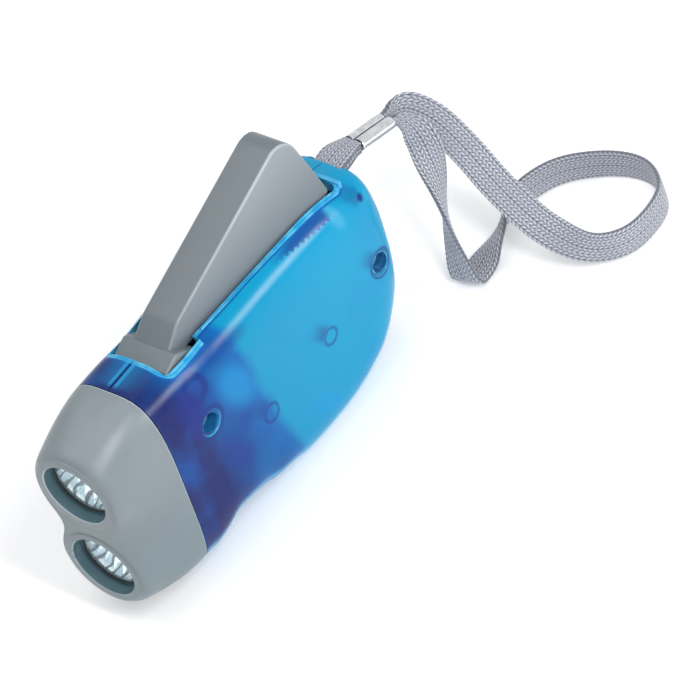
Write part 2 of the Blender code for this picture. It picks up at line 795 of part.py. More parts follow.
def pillow(name, side, inset=0.0, closed=False):
    """One rounded half of the housing, from the middle plane to its flat side.

    An inset draws the whole form in. A closed half also has its face on the middle plane.
    """
    bm = bmesh.new()
    half_width = BODY_HALF_WIDTH - inset
    rings = []
    for ring in range(BODY_RING_COUNT):
        turn = QUARTER_TURN * ring / (BODY_RING_COUNT - 1)
        verts = []
        for x, z, flat_x, flat_z, power in body_rows():
            run = Vector((flat_x - x, flat_z - z))
            start = Vector((x, z)) + run.normalized() * inset
            share = 1 - max(math.cos(turn), 0) ** (2 / power)
            place = start.lerp(Vector((flat_x, flat_z)), share)
            depth = half_width * math.sin(turn) ** (2 / power)
            floor = inset - BELLY_DEPTH
            verts.append(bm.verts.new((place.x, side * depth, max(place.y, floor))))
        rings.append(verts)
    bridge(bm, rings)
    bm.faces.new(rings[-1])
    if closed:
        bm.faces.new(rings[0])
    else:
        bmesh.ops.bisect_plane(
            bm, geom=bm.verts[:] + bm.edges[:] + bm.faces[:], dist=TRIM_DISTANCE,
            plane_co=(-PARTING_GAP / 2, 0, 0), plane_no=(1, 0, 0), clear_outer=True,
        )
    bmesh.ops.triangulate(bm, faces=bm.faces)
    bmesh.ops.recalc_face_normals(bm, faces=bm.faces)
    if not closed:
        outward = sum((face.normal.y * side * face.calc_area() for face in bm.faces))
        if outward < 0:
            bmesh.ops.reverse_faces(bm, faces=bm.faces)
    mesh = bpy.data.meshes.new(name)
    bm.to_mesh(mesh)
    bm.free()
    mesh.shade_smooth()
    mesh.set_sharp_from_angle(angle=math.radians(40))
    return mesh


def slot_loop(grow=0.0):
    """The T-shaped opening for the lever, seen from above."""
    front = -SLOT_FRONT + grow
    back = -SLOT_BACK - grow
    step = -FOOT_SLOT_BACK - grow
    wide = FOOT_SLOT_HALF_WIDTH + grow
    narrow = SLOT_HALF_WIDTH + grow
    tail = SLOT_TAIL_HALF_WIDTH + grow
    corners = [
        (front, -wide), (front, wide), (step, wide), (step, narrow),
        (back, tail), (back, -tail), (step, -narrow), (step, -wide),
    ]
    radii = [SLOT_CORNER, SLOT_CORNER, 0, 0, SLOT_CORNER, SLOT_CORNER, 0, 0]
    return filleted(corners, radii)


def shared_cutters(frame):
    """Cutters that both halves of the housing use."""
    tall = BODY_RISE + OVERRUN
    cutters = {}
    cutters["exit"] = add_cutter(
        "cut_exit",
        box_mesh(
            "cut_exit",
            (-BODY_LENGTH - OVERRUN, -EXIT_HALF_WIDTH, EXIT_LOW),
            (-EXIT_FRONT, EXIT_HALF_WIDTH, EXIT_HIGH + OVERRUN)),
        frame)
    cutters["slot"] = add_cutter(
        "cut_slot", plate_mesh("cut_slot", [slot_loop()], SLOT_DEPTH, tall, along="Z"), frame)
    cutters["rim"] = add_cutter(
        "cut_rim",
        box_mesh("cut_rim", (-SLOT_BACK, -BODY_HALF_WIDTH, RIM_RISE), (-SLOT_FRONT, BODY_HALF_WIDTH, tall)),
        frame)
    return cutters


def joined_post(shell, core, name, mesh, spot, frame):
    """Grow a post, rib or boss out of a shell, trimmed to the inside of its wall."""
    post = add_cutter(name, mesh, frame, spot)
    combine(post, core, "INTERSECT")
    combine(shell, post, "UNION")


def housing_half(name, side, frame, cutters):
    """One half of the housing: a thin pillow with its posts, bearings and openings."""
    shell = add_object(name, pillow(name, side), "blue_clear", frame)
    wall = shell.modifiers.new("wall", "SOLIDIFY")
    wall.thickness = WALL
    wall.offset = -1
    wall.use_even_offset = True
    low, high = sorted((side * PARTING_GAP / 2, -side * BODY_HALF_WIDTH))
    trim = box_mesh(
        f"trim_{name}",
        (-BODY_LENGTH - OVERRUN, low, -BELLY_DEPTH - OVERRUN), (OVERRUN, high, BODY_RISE + OVERRUN))
    combine(shell, add_cutter(f"trim_{name}", trim, frame), "DIFFERENCE")
    core = add_cutter(f"core_{name}", pillow(f"core_{name}", side, inset=WALL / 2, closed=True), frame)
    reach = BODY_HALF_WIDTH

    def span(first, second):
        return min(side * first, side * second), max(side * first, side * second)

    def post(label, radius, start, spot):
        low, high = span(start, reach)
        mesh = rod_mesh(f"{label}_{name}", radius, low, high, steps=POST_STEPS)
        joined_post(shell, core, f"{label}_{name}", mesh, spot, frame)

    def bore(label, radius, start, end, spot):
        low, high = span(start, end)
        mesh = rod_mesh(f"{label}_{name}", radius, low, high, steps=POST_STEPS)
        combine(shell, add_cutter(f"{label}_{name}", mesh, frame, spot), "DIFFERENCE")

    lip_loop = [
        (-LIP_FRONT, side * (SLOT_HALF_WIDTH - SEAT_GAP)),
        (-LIP_FRONT, side * (SLOT_HALF_WIDTH + LIP_THICKNESS)),
        (-LIP_BACK, side * (SLOT_TAIL_HALF_WIDTH + LIP_THICKNESS)),
        (-LIP_BACK, side * (SLOT_TAIL_HALF_WIDTH - SEAT_GAP)),
    ]
    lip = plate_mesh(f"lip_{name}", [lip_loop], RIM_RISE - LIP_DEPTH, BODY_RISE, along="Z")
    joined_post(shell, core, f"lip_{name}", lip, (0, 0, 0), frame)
    for cutter in cutters.values():
        combine(shell, cutter, "DIFFERENCE")
    low, high = span(RIB_START, reach)
    rib_back = BOARD_BACK + BOARD_THICKNESS + SEAT_GAP + RIB_THICKNESS
    for label, front in (("rib_front", BOARD_BACK - SEAT_GAP), ("rib_back", rib_back)):
        rib = box_mesh(f"{label}_{name}", (-front, low, RIB_LOW), (RIB_THICKNESS - front, high, RIB_HIGH))
        joined_post(shell, core, f"{label}_{name}", rib, (0, 0, 0), frame)
    main_start = RATCHET_HIGH + SEAT_GAP if side > 0 else SECTOR_HALF_THICKNESS + SEAT_GAP * 2
    step_start = STEP_GEAR_HIGH + SEAT_GAP if side > 0 else FLYWHEEL_RADIUS
    post("bearing_main", BEARING_RADIUS, main_start, MAIN_AXLE)
    post("bearing_step", BEARING_RADIUS, step_start, STEP_AXLE)
    post("post_hinge", BEARING_RADIUS, FOOT_HALF_WIDTH + SEAT_GAP, HINGE)
    post("post_front_screw", POST_RADIUS, PARTING_GAP / 2, FRONT_SCREW)
    post("post_tail_screw", POST_RADIUS, PARTING_GAP / 2, TAIL_SCREW)
    if side > 0:
        post("seat_front_screw", POST_HEAD_RADIUS, SCREW_SEAT - WALL, FRONT_SCREW)
        post("seat_tail_screw", POST_HEAD_RADIUS, SCREW_SEAT - WALL, TAIL_SCREW)
    post("boss_strap", STRAP_BOSS_RADIUS, STRAP_BOSS_START, STRAP_PIN)
    if side > 0:
        post("bearing_rotor", BEARING_RADIUS, STEP_GEAR_HIGH + 2 * SEAT_GAP, ROTOR_AXLE)
    else:
        post("post_stator", STATOR_POST_RADIUS, -CLAW_LOW + SEAT_GAP, ROTOR_AXLE)
        cell_cradle(shell, core, name, frame)
        switch_pad(shell, core, name, frame)
    deep = TRAIN_AXLE_REACH + SEAT_GAP
    bore("bore_main", AXLE_RADIUS + SHAFT_GAP, main_start - OVERRUN, deep, MAIN_AXLE)
    bore("bore_step", AXLE_RADIUS + SHAFT_GAP, step_start - OVERRUN, deep, STEP_AXLE)
    bore("bore_hinge", HINGE_PIN_RADIUS + SHAFT_GAP, FOOT_HALF_WIDTH - OVERRUN, deep, HINGE)
    bore(
        "bore_strap", STRAP_PIN_RADIUS + SHAFT_GAP, STRAP_BOSS_START - OVERRUN,
        STRAP_PIN_REACH + SEAT_GAP, STRAP_PIN)
    rotor_end = ROTOR_SHAFT_HIGH if side > 0 else -ROTOR_SHAFT_LOW
    bore("bore_rotor", ROTOR_SHAFT_RADIUS + SHAFT_GAP, STEP_GEAR_HIGH, rotor_end + SEAT_GAP, ROTOR_AXLE)
    for label, spot in (("front", FRONT_SCREW), ("tail", TAIL_SCREW)):
        if side > 0:
            bore(f"recess_{label}", RECESS_RING_RADIUS, reach - RECESS_DEPTH, reach + OVERRUN, spot)
            bore(f"head_{label}", COUNTERBORE_RADIUS, SCREW_SEAT - SEAT_GAP, reach + OVERRUN, spot)
            bore(f"shank_{label}", CLEARANCE_BORE_RADIUS, -OVERRUN, SCREW_SEAT, spot)
        else:
            bore(f"pilot_{label}", CLEARANCE_BORE_RADIUS, -OVERRUN, SEAT_GAP - SCREW_END, spot)
    if side < 0:
        cut_switch_pocket(shell, frame)
    return shell


def cell_cradle(shell, core, name, frame):
    """The round wall that holds the cells, grown from the far half."""
    inner = CELL_RADIUS + SEAT_GAP
    ring = plate_mesh("cradle", [circle(inner + CRADLE_WALL), circle(inner)], -BODY_HALF_WIDTH, CRADLE_TOP)
    joined_post(shell, core, f"cradle_{name}", ring, CELL_CENTRE, frame)


def switch_pad(shell, core, name, frame):
    """The thicker patch of wall round the slide switch."""
    half_length = SWITCH_POCKET_LENGTH / 2 + WALL
    half_height = SWITCH_POCKET_HEIGHT / 2 + WALL
    pad = box_mesh(
        "switch_pad",
        (-half_length, -BODY_HALF_WIDTH, -half_height),
        (half_length, -INNER_HALF_WIDTH + SWITCH_PAD - WALL / 2, half_height))
    joined_post(shell, core, f"pad_{name}", pad, SWITCH_CENTRE, frame)


def cut_switch_pocket(shell, frame):
    """The shallow pocket that the slider runs in, and the slit for its stem."""
    half_length = SWITCH_POCKET_LENGTH / 2
    half_height = SWITCH_POCKET_HEIGHT / 2
    floor = SWITCH_POCKET_DEPTH - BODY_HALF_WIDTH
    pocket = box_mesh(
        "cut_pocket",
        (-half_length, -BODY_HALF_WIDTH - OVERRUN, -half_height), (half_length, floor, half_height))
    combine(shell, add_cutter("cut_pocket", pocket, frame, SWITCH_CENTRE), "DIFFERENCE")
    slit_low = -SLIDER_STEM / 2 - SEAT_GAP - SWITCH_TRAVEL / 2
    slit_high = SLIDER_STEM / 2 + SEAT_GAP + SWITCH_TRAVEL / 2
    slit_half = SLIDER_STEM / 2 + SEAT_GAP
    slit = box_mesh(
        "cut_slit", (slit_low, -BODY_HALF_WIDTH, -slit_half), (slit_high, -SWITCH_BODY_DEPTH, slit_half))
    combine(shell, add_cutter("cut_slit", slit, frame, SWITCH_CENTRE), "DIFFERENCE")


def drawn_in(points, distance):
    """A closed section with every point moved inward, square to its own side."""
    count = len(points)
    result = []
    for index, point in enumerate(points):
        run = points[(index + 1) % count] - points[index - 1]
        inward = Vector((-run.y, run.x)).normalized()
        if inward.dot(point) > 0:
            inward = -inward
        result.append(point + inward * distance)
    return result


def head_section(blend, keep):
    """One section of the head: the rear shape blended into the two-lobed front shape."""
    top_middle = HEAD_MIDDLE_SHARE * BODY_RISE
    low_middle = -HEAD_LOW_MIDDLE_SHARE * BELLY_DEPTH
    bottom = -HEAD_BOTTOM_SHARE * BELLY_DEPTH
    half = []
    for wide_share, high_share in HEAD_FRONT_SHARES:
        front = Vector((wide_share * LOBE_HALF_WIDTH, high_share * LOBE_REACH))
        rear_z = high_share * (BODY_RISE if high_share > 0 else -bottom)
        if rear_z > top_middle:
            level, power = (rear_z - top_middle) / (BODY_RISE - top_middle), HEAD_TOP_POWER
        else:
            level, power = max(low_middle - rear_z, 0) / (low_middle - bottom), HEAD_BOTTOM_POWER
        rear_y = BODY_HALF_WIDTH * (1 - min(level, 1) ** power) ** (1 / power)
        half.append(Vector((rear_y, rear_z)).lerp(front, blend) * keep)
    return half + [Vector((-place.x, place.y)) for place in reversed(half[1:-1])]


def head_ring(bm, station, blend=0.0, keep=1.0, inset=0.0):
    """Vertices of one section of the head."""
    section = head_section(blend, keep)
    if inset > 0:
        section = drawn_in(section, inset)
    return [bm.verts.new((station, place.x, place.y)) for place in section]


def head_shell_mesh(name):
    """The head as a loft of unlike sections: its skin, then the inside of its wall."""
    bm = bmesh.new()
    rings = [head_ring(bm, share * HEAD_LENGTH, blend, keep) for share, blend, keep in HEAD_STATION_SHARES]
    skin_front = rings[-1]
    inner_length = HEAD_LENGTH - HEAD_WALL
    inner_rings = [
        head_ring(bm, share * HEAD_LENGTH, blend, inset=HEAD_WALL)
        for share, blend, keep in HEAD_STATION_SHARES[::2]
        if share * HEAD_LENGTH < inner_length - HEAD_WALL
    ]
    inner_rings.append(head_ring(bm, inner_length, HEAD_STATION_SHARES[-1][1], inset=HEAD_WALL))
    bridge(bm, rings)
    bridge(bm, inner_rings)
    bridge(bm, [inner_rings[0], rings[0]])
    bm.faces.new(skin_front)
    bm.faces.new(inner_rings[-1])
    return mesh_from(bm, name, smooth_deg=30)


def spigot_mesh(name):
    """The collar of the head that plugs into the housing, rooted in the head's own wall."""
    bm = bmesh.new()
    outside = WALL + 2 * SEAT_GAP
    inside = outside + SPIGOT_WALL
    rooted = HEAD_WALL / 2
    rings = [
        head_ring(bm, -SPIGOT_LENGTH, inset=outside),
        head_ring(bm, SEAT_GAP, inset=outside),
        head_ring(bm, 2 * SEAT_GAP, inset=rooted),
        head_ring(bm, SPIGOT_ROOT, inset=rooted),
        head_ring(bm, SPIGOT_ROOT, inset=inside),
        head_ring(bm, -SPIGOT_LENGTH, inset=inside),
    ]
    bridge(bm, rings)
    bridge(bm, [rings[-1], rings[0]])
    return mesh_from(bm, name)


def head_bezel(frame):
    """The grey head: a thin two-lobed shell with two bores and a collar for the housing."""
    bezel = add_object("head_bezel", head_shell_mesh("head_bezel"), "grey_plastic", frame)
    spigot = add_cutter("head_spigot", spigot_mesh("head_spigot"), frame)
    combine(bezel, spigot, "UNION")
    tube_front = HEAD_LENGTH - HEAD_WALL / 2
    tube_back = HEAD_LENGTH - BORE_DEPTH
    flare = BORE_RADIUS + BORE_CHAMFER + OVERRUN
    for label, level in (("upper", LENS_SPACING / 2), ("lower", -LENS_SPACING / 2)):
        spot = (0, 0, level)
        for kind, radius, back, front, end_radius, operation in (
            ("tube", BORE_RADIUS + BORE_WALL, tube_back, tube_front, None, "UNION"),
            ("bore", BORE_RADIUS, tube_back - OVERRUN, HEAD_LENGTH + OVERRUN, None, "DIFFERENCE"),
            ("bevel", BORE_RADIUS, HEAD_LENGTH - BORE_CHAMFER, HEAD_LENGTH + OVERRUN, flare, "DIFFERENCE"),
        ):
            mesh = rod_mesh(kind, radius, back, front, end_radius, steps=FINE_STEPS, along="X")
            combine(bezel, add_cutter(f"head_{kind}_{label}", mesh, frame, spot), operation)
    return bezel


def optics(frame):
    """Ring, window, reflector and lamp in each bore, and the board that carries the lamps."""
    ring_front = HEAD_LENGTH - RING_DEPTH
    ring_back = ring_front - RING_THICKNESS
    lens_front = ring_back - SEAT_GAP
    lens_back = lens_front - LENS_THICKNESS
    flange_front = lens_back - SEAT_GAP
    bowl_back = flange_front - REFLECTOR_DEPTH
    outer = BORE_RADIUS - SEAT_GAP
    for label, level in (("upper", LENS_SPACING / 2), ("lower", -LENS_SPACING / 2)):
        spot = (0, 0, level)
        inner = outer - RING_WIDTH
        turned(
            f"lens_ring_{label}",
            [(inner, ring_front), (outer, ring_front), (outer, ring_back), (inner, ring_back)],
            "black_rubber", frame, spot, (1, 0, 0))
        turned(
            f"lens_{label}",
            [(0, lens_front), (outer, lens_front), (outer, lens_back), (0, lens_back)],
            "clear_lens", frame, spot, (1, 0, 0))
        turned(
            f"reflector_{label}", reflector_profile(flange_front, bowl_back, outer),
            "chrome", frame, spot, (1, 0, 0))
        turned(f"led_{label}", led_profile(bowl_back), "led_resin", frame, spot, (1, 0, 0), steps=ROUND_STEPS)
    board_front = bowl_back - LED_FLANGE_THICKNESS - 2 * SEAT_GAP
    board = box_mesh(
        "led_board",
        (board_front - LED_BOARD_THICKNESS, -LED_BOARD_HALF_WIDTH, -LED_BOARD_HALF_HEIGHT),
        (board_front, LED_BOARD_HALF_WIDTH, LED_BOARD_HALF_HEIGHT))
    add_object("led_board", board, "board_green", frame)


def bowl_points(front, back, rim, neck, steps=BOWL_STEPS):
    """A parabola of revolution from its rim to its neck."""
    points = []
    for step in range(steps + 1):
        share = 1 - step / steps
        radius = neck + (rim - neck) * share
        depth = (front - back) * (radius * radius - neck * neck) / (rim * rim - neck * neck)
        points.append((radius, back + depth))
    return points


def reflector_profile(front, back, outer):
    """A bowl with a thin wall and a flat flange at its rim."""
    rim = outer - RING_WIDTH
    inside = bowl_points(front, back, rim, REFLECTOR_NECK_RADIUS)
    outside = bowl_points(
        front - FLANGE_THICKNESS, back, rim + REFLECTOR_WALL, REFLECTOR_NECK_RADIUS + REFLECTOR_WALL)
    flange = [(outer, front), (outer, front - FLANGE_THICKNESS)]
    return flange + outside + list(reversed(inside))


def led_profile(bowl_back):
    """A round-nosed lamp with its flange, standing in the neck of the bowl."""
    base = bowl_back - LED_FLANGE_THICKNESS - SEAT_GAP
    flange_top = base + LED_FLANGE_THICKNESS
    dome_start = base + LED_LENGTH - LED_RADIUS
    profile = []
    steps = 5
    for step in range(steps):
        angle = QUARTER_TURN * step / steps
        profile.append((LED_RADIUS * math.sin(angle), dome_start + LED_RADIUS * math.cos(angle)))
    profile.append((LED_RADIUS, dome_start))
    profile.append((LED_RADIUS, flange_top))
    profile.append((LED_FLANGE_RADIUS, flange_top))
    profile.append((LED_FLANGE_RADIUS, base))
    profile.append((0, base))
    return profile


def from_hinge(back, rise):
    """A point of the side view, measured from the hinge."""
    return (HINGE_BACK - back, rise - HINGE_RISE)


def lever_outline(inset=0.0):
    """The lever's side view, with its walls drawn in by an inset where the cavity is cut."""
    low = LEVER_SKIRT_RISE - (OVERRUN if inset else 0)
    front_low = EAR_LOW_RISE - (FOOT_DEPTH + OVERRUN if inset else 0)
    buried = max(inset, SEAT_GAP)
    corners = [
        from_hinge(LEVER_FOOT_BACK + buried, front_low),
        from_hinge(LEVER_FOOT_BACK + buried, LEVER_FOOT_RISE - buried),
        from_hinge(LEVER_STEP_BACK + buried, LEVER_STEP_RISE - buried),
        from_hinge(LEVER_KNEE_BACK + inset / 2, LEVER_KNEE_RISE - inset),
        from_hinge(LEVER_CREST_BACK - inset, LEVER_CREST_RISE - inset),
        from_hinge(LEVER_TAIL_BACK - inset, low),
        from_hinge(EAR_BACK - SEAT_GAP + inset, low),
        from_hinge(EAR_BACK - SEAT_GAP + inset, front_low),
    ]
    crest = max(LEVER_CREST_ROUND - inset, OVERRUN)
    radii = [0, LEVER_STEP_ROUND, 0, LEVER_KNEE_ROUND, crest, LEVER_STEP_ROUND, 0, 0]
    return filleted(corners, radii)


def ear_outline():
    """The flared foot of the lever, down to the boss round the hinge pin."""
    low = EAR_LOW_RISE - FOOT_DEPTH
    corners = [
        from_hinge(LEVER_FOOT_BACK, low),
        from_hinge(LEVER_FOOT_BACK, LEVER_FOOT_RISE),
        from_hinge(LEVER_STEP_BACK, LEVER_STEP_RISE),
        from_hinge(EAR_BACK, EAR_NOTCH_RISE),
        from_hinge(EAR_BACK, EAR_LOW_RISE),
        from_hinge(2 * HINGE_BACK - LEVER_FOOT_BACK, low),
    ]
    return filleted(
        corners, [FOOT_ROUND, LEVER_STEP_ROUND, LEVER_STEP_ROUND, LEVER_STEP_ROUND, 0, FOOT_ROUND])


def leaning_plate(name, outline, half_width):
    """A plate as wide as the lever's back along its top line, whose sides lean out below it."""
    mesh = plate_mesh(name, [outline], -half_width, half_width)
    knee_x, knee_z = from_hinge(LEVER_KNEE_BACK, LEVER_KNEE_RISE)
    slope = (LEVER_CREST_RISE - LEVER_KNEE_RISE) / (LEVER_CREST_BACK - LEVER_KNEE_BACK)
    for vert in mesh.vertices:
        drop = knee_z + (knee_x - vert.co.x) * slope - vert.co.z
        vert.co.y += math.copysign(drop * LEVER_LEAN, vert.co.y)
    return mesh


def lever(hinge):
    """The grey squeeze lever: a channel with a flared foot and a boss on the hinge pin."""
    mesh = leaning_plate("lever", lever_outline(), LEVER_HALF_WIDTH)
    item = add_object("lever", mesh, "grey_plastic", hinge)
    edges = item.modifiers.new("edges", "BEVEL")
    edges.width = LEVER_EDGE_ROUND
    edges.segments = 2
    edges.limit_method = "ANGLE"
    edges.angle_limit = math.radians(60)
    inner = LEVER_HALF_WIDTH - LEVER_WALL
    ear_mesh = plate_mesh("lever_ears", [ear_outline()], -FOOT_HALF_WIDTH, FOOT_HALF_WIDTH)
    ears = add_cutter("lever_ears", ear_mesh, hinge)
    combine(item, ears, "UNION")
    reach = FOOT_HALF_WIDTH + OVERRUN
    bore = rod_mesh("lever_bore", HINGE_PIN_RADIUS + SHAFT_GAP, -reach, reach)
    combine(item, add_cutter("lever_bore", bore, hinge), "DIFFERENCE")
    cavity = leaning_plate("lever_cavity", lever_outline(LEVER_ROOF), inner)
    combine(item, add_cutter("lever_cavity", cavity, hinge), "DIFFERENCE")
    room = rod_mesh("lever_room", HINGE_ROOM_RADIUS, -HINGE_ROOM_HALF_WIDTH, HINGE_ROOM_HALF_WIDTH)
    combine(item, add_cutter("lever_room", room, hinge), "DIFFERENCE")
    # The tail wall is notched where it comes down beside the main gear at the end of the squeeze.
    gear_reach = TRAIN_MODULE * MAIN_GEAR_TEETH / 2 + TRAIN_MODULE + LEVER_RELIEF_GAP
    relief = rod_mesh(
        "lever_relief", gear_reach, MAIN_GEAR_LOW - LEVER_RELIEF_GAP, MAIN_GEAR_HIGH + LEVER_RELIEF_GAP,
        steps=LEVER_RELIEF_STEPS)
    pressed_axle = tail_direction(MAIN_AXLE_DEG - LEVER_TRAVEL_DEG) * (MAIN_AXLE - HINGE).length
    combine(item, add_cutter("lever_relief", relief, hinge, pressed_axle), "DIFFERENCE")
    return item


def polar(radius, degrees):
    """A point at a radius from the hinge, turned below the line to the tail."""
    spot = tail_direction(degrees) * radius
    return (spot.x, spot.z)


def sector_outline():
    """The toothed plate: a web under the lever's roof and an arm with teeth that face the hinge."""
    gap = LEVER_ROOF + SEAT_GAP
    pitch_radius = DRIVE_MODULE * SECTOR_TEETH / 2
    root = pitch_radius + DRIVE_MODULE * DEDENDUM_SHARE
    tip = pitch_radius - DRIVE_MODULE * ADDENDUM_SHARE
    pitch = math.degrees(FULL_TURN / SECTOR_TEETH)
    outline = [
        from_hinge(LEVER_KNEE_BACK + gap, LEVER_KNEE_RISE - gap),
        from_hinge(
            LEVER_CREST_BACK - LEVER_CREST_ROUND - gap,
            LEVER_CREST_RISE - LEVER_CREST_ROUND * SECTOR_CREST_SHARE - gap),
    ]
    swing = SECTOR_ARM_LAST_DEG - SECTOR_BACK_DEG
    outline += [
        polar(SECTOR_RADIUS, SECTOR_BACK_DEG + swing * step / SECTOR_BACK_STEPS)
        for step in range(SECTOR_BACK_STEPS + 1)]
    outline.append(polar(root, SECTOR_ARM_LAST_DEG))
    tooth = 0
    first = MAIN_AXLE_DEG + pitch / 2
    while first + tooth * pitch < SECTOR_ARM_LAST_DEG - pitch:
        tooth += 1
    middle = first + (tooth - 1) * pitch
    while middle > SECTOR_ROOT_DEG:
        for reach, half_share in tooth_corners(root, tip):
            outline.append(polar(reach, middle + pitch * TOOTH_THICKNESS_SHARE * half_share))
        middle -= pitch
    outline.append(polar(root, SECTOR_ARM_FIRST_DEG))
    outline.append(polar(SECTOR_WEB_INNER, SECTOR_ARM_FIRST_DEG))
    outline.append(from_hinge(EAR_BACK + gap, SECTOR_WEB_RISE))
    return outline


def sector_plate(hinge):
    """The toothed sector that rides inside the lever."""
    mesh = plate_mesh("drive_sector", [sector_outline()], -SECTOR_HALF_THICKNESS, SECTOR_HALF_THICKNESS)
    return add_object("drive_sector", mesh, "grey_plastic", hinge)


def return_spring(frame):
    """The torsion spring on the hinge: coils beside the sector and two straight arms."""
    points = [Vector((-SPRING_ARM, SPRING_LOW, SPRING_RADIUS))]
    total = int(SPRING_TURNS * SPRING_TURN_POINTS)
    for step in range(total + 1):
        angle = QUARTER_TURN - FULL_TURN * step / SPRING_TURN_POINTS
        rise = SPRING_LOW + SPRING_PITCH * step / SPRING_TURN_POINTS
        points.append(Vector((SPRING_RADIUS * math.cos(angle), rise, SPRING_RADIUS * math.sin(angle))))
    points.append(Vector((-SPRING_ARM, SPRING_LOW + SPRING_PITCH * SPRING_TURNS, -SPRING_RADIUS)))
    return tube_object("return_spring", points, SPRING_WIRE / 2, "steel", frame, HINGE)


def tube_object(name, points, radius, key, parent, spot=(0, 0, 0), sides=1):
    """A round wire along points."""
    curve = bpy.data.curves.new(name, "CURVE")
    curve.dimensions = "3D"
    curve.bevel_depth = radius
    curve.bevel_resolution = sides
    curve.render_resolution_u = 0
    curve.use_fill_caps = True
    spline = curve.splines.new("POLY")
    spline.points.add(len(points) - 1)
    for point, place in zip(spline.points, points):
        point.co = (*place, 1)
    item = bpy.data.objects.new(name, curve)
    bpy.data.collections[PARTS_COLLECTION].objects.link(item)
    item.parent = parent
    item.location = spot
    curve.materials.append(finish(name, key))
    return item


def gear_object(name, teeth, module, phase, low, high, key, parent, holes=(), bore=None):
    """A spur gear as a flat plate with a bore and any lightening holes."""
    hole = AXLE_RADIUS + SHAFT_GAP if bore is None else bore
    loops = [gear_loop(teeth, module, phase), circle(hole)]
    loops += [circle(radius, POST_STEPS, centre) for radius, centre in holes]
    return add_object(name, plate_mesh(name, loops, low, high), key, parent)


def gear_train(frame):
    """Main pinion with its ratchet, main gear, step-up gear and rotor pinion, all in mesh at rest."""
    main = add_empty("main_axis", MAIN_AXLE, frame)
    step = add_empty("step_axis", STEP_AXLE, frame)
    rotor = add_empty("rotor_axis", ROTOR_AXLE, frame)
    to_main = axis_angle(HINGE, MAIN_AXLE)
    to_step = axis_angle(MAIN_AXLE, STEP_AXLE)
    to_rotor = axis_angle(STEP_AXLE, ROTOR_AXLE)
    pinion_mesh = plate_mesh(
        "drive_pinion", [gear_loop(DRIVE_PINION_TEETH, DRIVE_MODULE, to_main)],
        -SECTOR_HALF_THICKNESS, SECTOR_HALF_THICKNESS)
    pinion = add_object("drive_pinion", pinion_mesh, "white_nylon", main)
    sleeve = rod_mesh("pinion_sleeve", HUB_RADIUS, 0, RATCHET_HIGH - SEAT_GAP)
    combine(pinion, add_cutter("pinion_sleeve", sleeve, main), "UNION")
    ratchet = plate_mesh("ratchet", [ratchet_loop()], RATCHET_LOW, RATCHET_HIGH)
    combine(pinion, add_cutter("ratchet", ratchet, main), "UNION")
    axle_bore(pinion, "pinion_bore", main)
    hole_count = 5
    holes = [
        (
            MAIN_GEAR_LIGHTENING_RADIUS,
            polar_offset(MAIN_GEAR_LIGHTENING_PITCH, FULL_TURN * index / hole_count),
        )
        for index in range(hole_count)
    ]
    gear_object(
        "main_gear", MAIN_GEAR_TEETH, TRAIN_MODULE, to_step, MAIN_GEAR_LOW, MAIN_GEAR_HIGH,
        "white_nylon", main, holes, bore=HUB_RADIUS + SHAFT_GAP)
    pawl_spring(main)
    half_step_pitch = HALF_TURN / STEP_PINION_TEETH
    step_mesh = plate_mesh(
        "step_up_gear", [gear_loop(STEP_GEAR_TEETH, TRAIN_MODULE, to_rotor)], STEP_GEAR_LOW, STEP_GEAR_HIGH)
    step_gear = add_object("step_up_gear", step_mesh, "white_nylon", step)
    step_pinion = plate_mesh(
        "step_pinion",
        [gear_loop(STEP_PINION_TEETH, TRAIN_MODULE, to_step + HALF_TURN + half_step_pitch)],
        MAIN_GEAR_LOW, STEP_GEAR_LOW + SEAT_GAP)
    combine(step_gear, add_cutter("step_pinion", step_pinion, step), "UNION")
    axle_bore(step_gear, "step_bore", step)
    half_rotor_pitch = HALF_TURN / ROTOR_PINION_TEETH
    gear_object(
        "rotor_pinion", ROTOR_PINION_TEETH, TRAIN_MODULE, to_rotor + HALF_TURN + half_rotor_pitch,
        STEP_GEAR_LOW - SEAT_GAP, STEP_GEAR_HIGH, "white_nylon", rotor, bore=ROTOR_SHAFT_RADIUS + SHAFT_GAP)
    for name, spot in (("main_axle", MAIN_AXLE), ("step_up_axle", STEP_AXLE)):
        add_object(
            name, rod_mesh(name, AXLE_RADIUS, -TRAIN_AXLE_REACH, TRAIN_AXLE_REACH), "steel", frame, spot)
    return rotor


def axle_bore(item, name, parent):
    """Open a bore for an axle right through a gear."""
    mesh = rod_mesh(name, AXLE_RADIUS + SHAFT_GAP, -BODY_HALF_WIDTH, BODY_HALF_WIDTH)
    combine(item, add_cutter(name, mesh, parent), "DIFFERENCE")


def polar_offset(radius, angle):
    return (radius * math.cos(angle), radius * math.sin(angle))


def ratchet_loop():
    """Saw teeth round the ratchet disc."""
    loop = []
    for tooth in range(RATCHET_COUNT):
        start = FULL_TURN * tooth / RATCHET_COUNT
        loop.append(polar_offset(RATCHET_RADIUS - RATCHET_STEP, start))
        loop.append(polar_offset(RATCHET_RADIUS, start + FULL_TURN * 0.9 / RATCHET_COUNT))
    return loop


def pawl_spring(main):
    """The sprung pawl on the face of the main gear that catches the ratchet one way."""
    low = MAIN_GEAR_HIGH + SEAT_GAP
    inner = RATCHET_RADIUS + SEAT_GAP
    steps = 12
    start, sweep = math.radians(20), math.radians(250)
    outer_side = [
        polar_offset(inner + PAWL_WIDTH, start + sweep * index / steps) for index in range(steps + 1)]
    inner_side = [polar_offset(inner, start + sweep * index / steps) for index in range(steps, -1, -1)]
    mesh = plate_mesh("clutch_pawl", [outer_side + inner_side], low, RATCHET_HIGH)
    add_object("clutch_pawl", mesh, "steel", main)


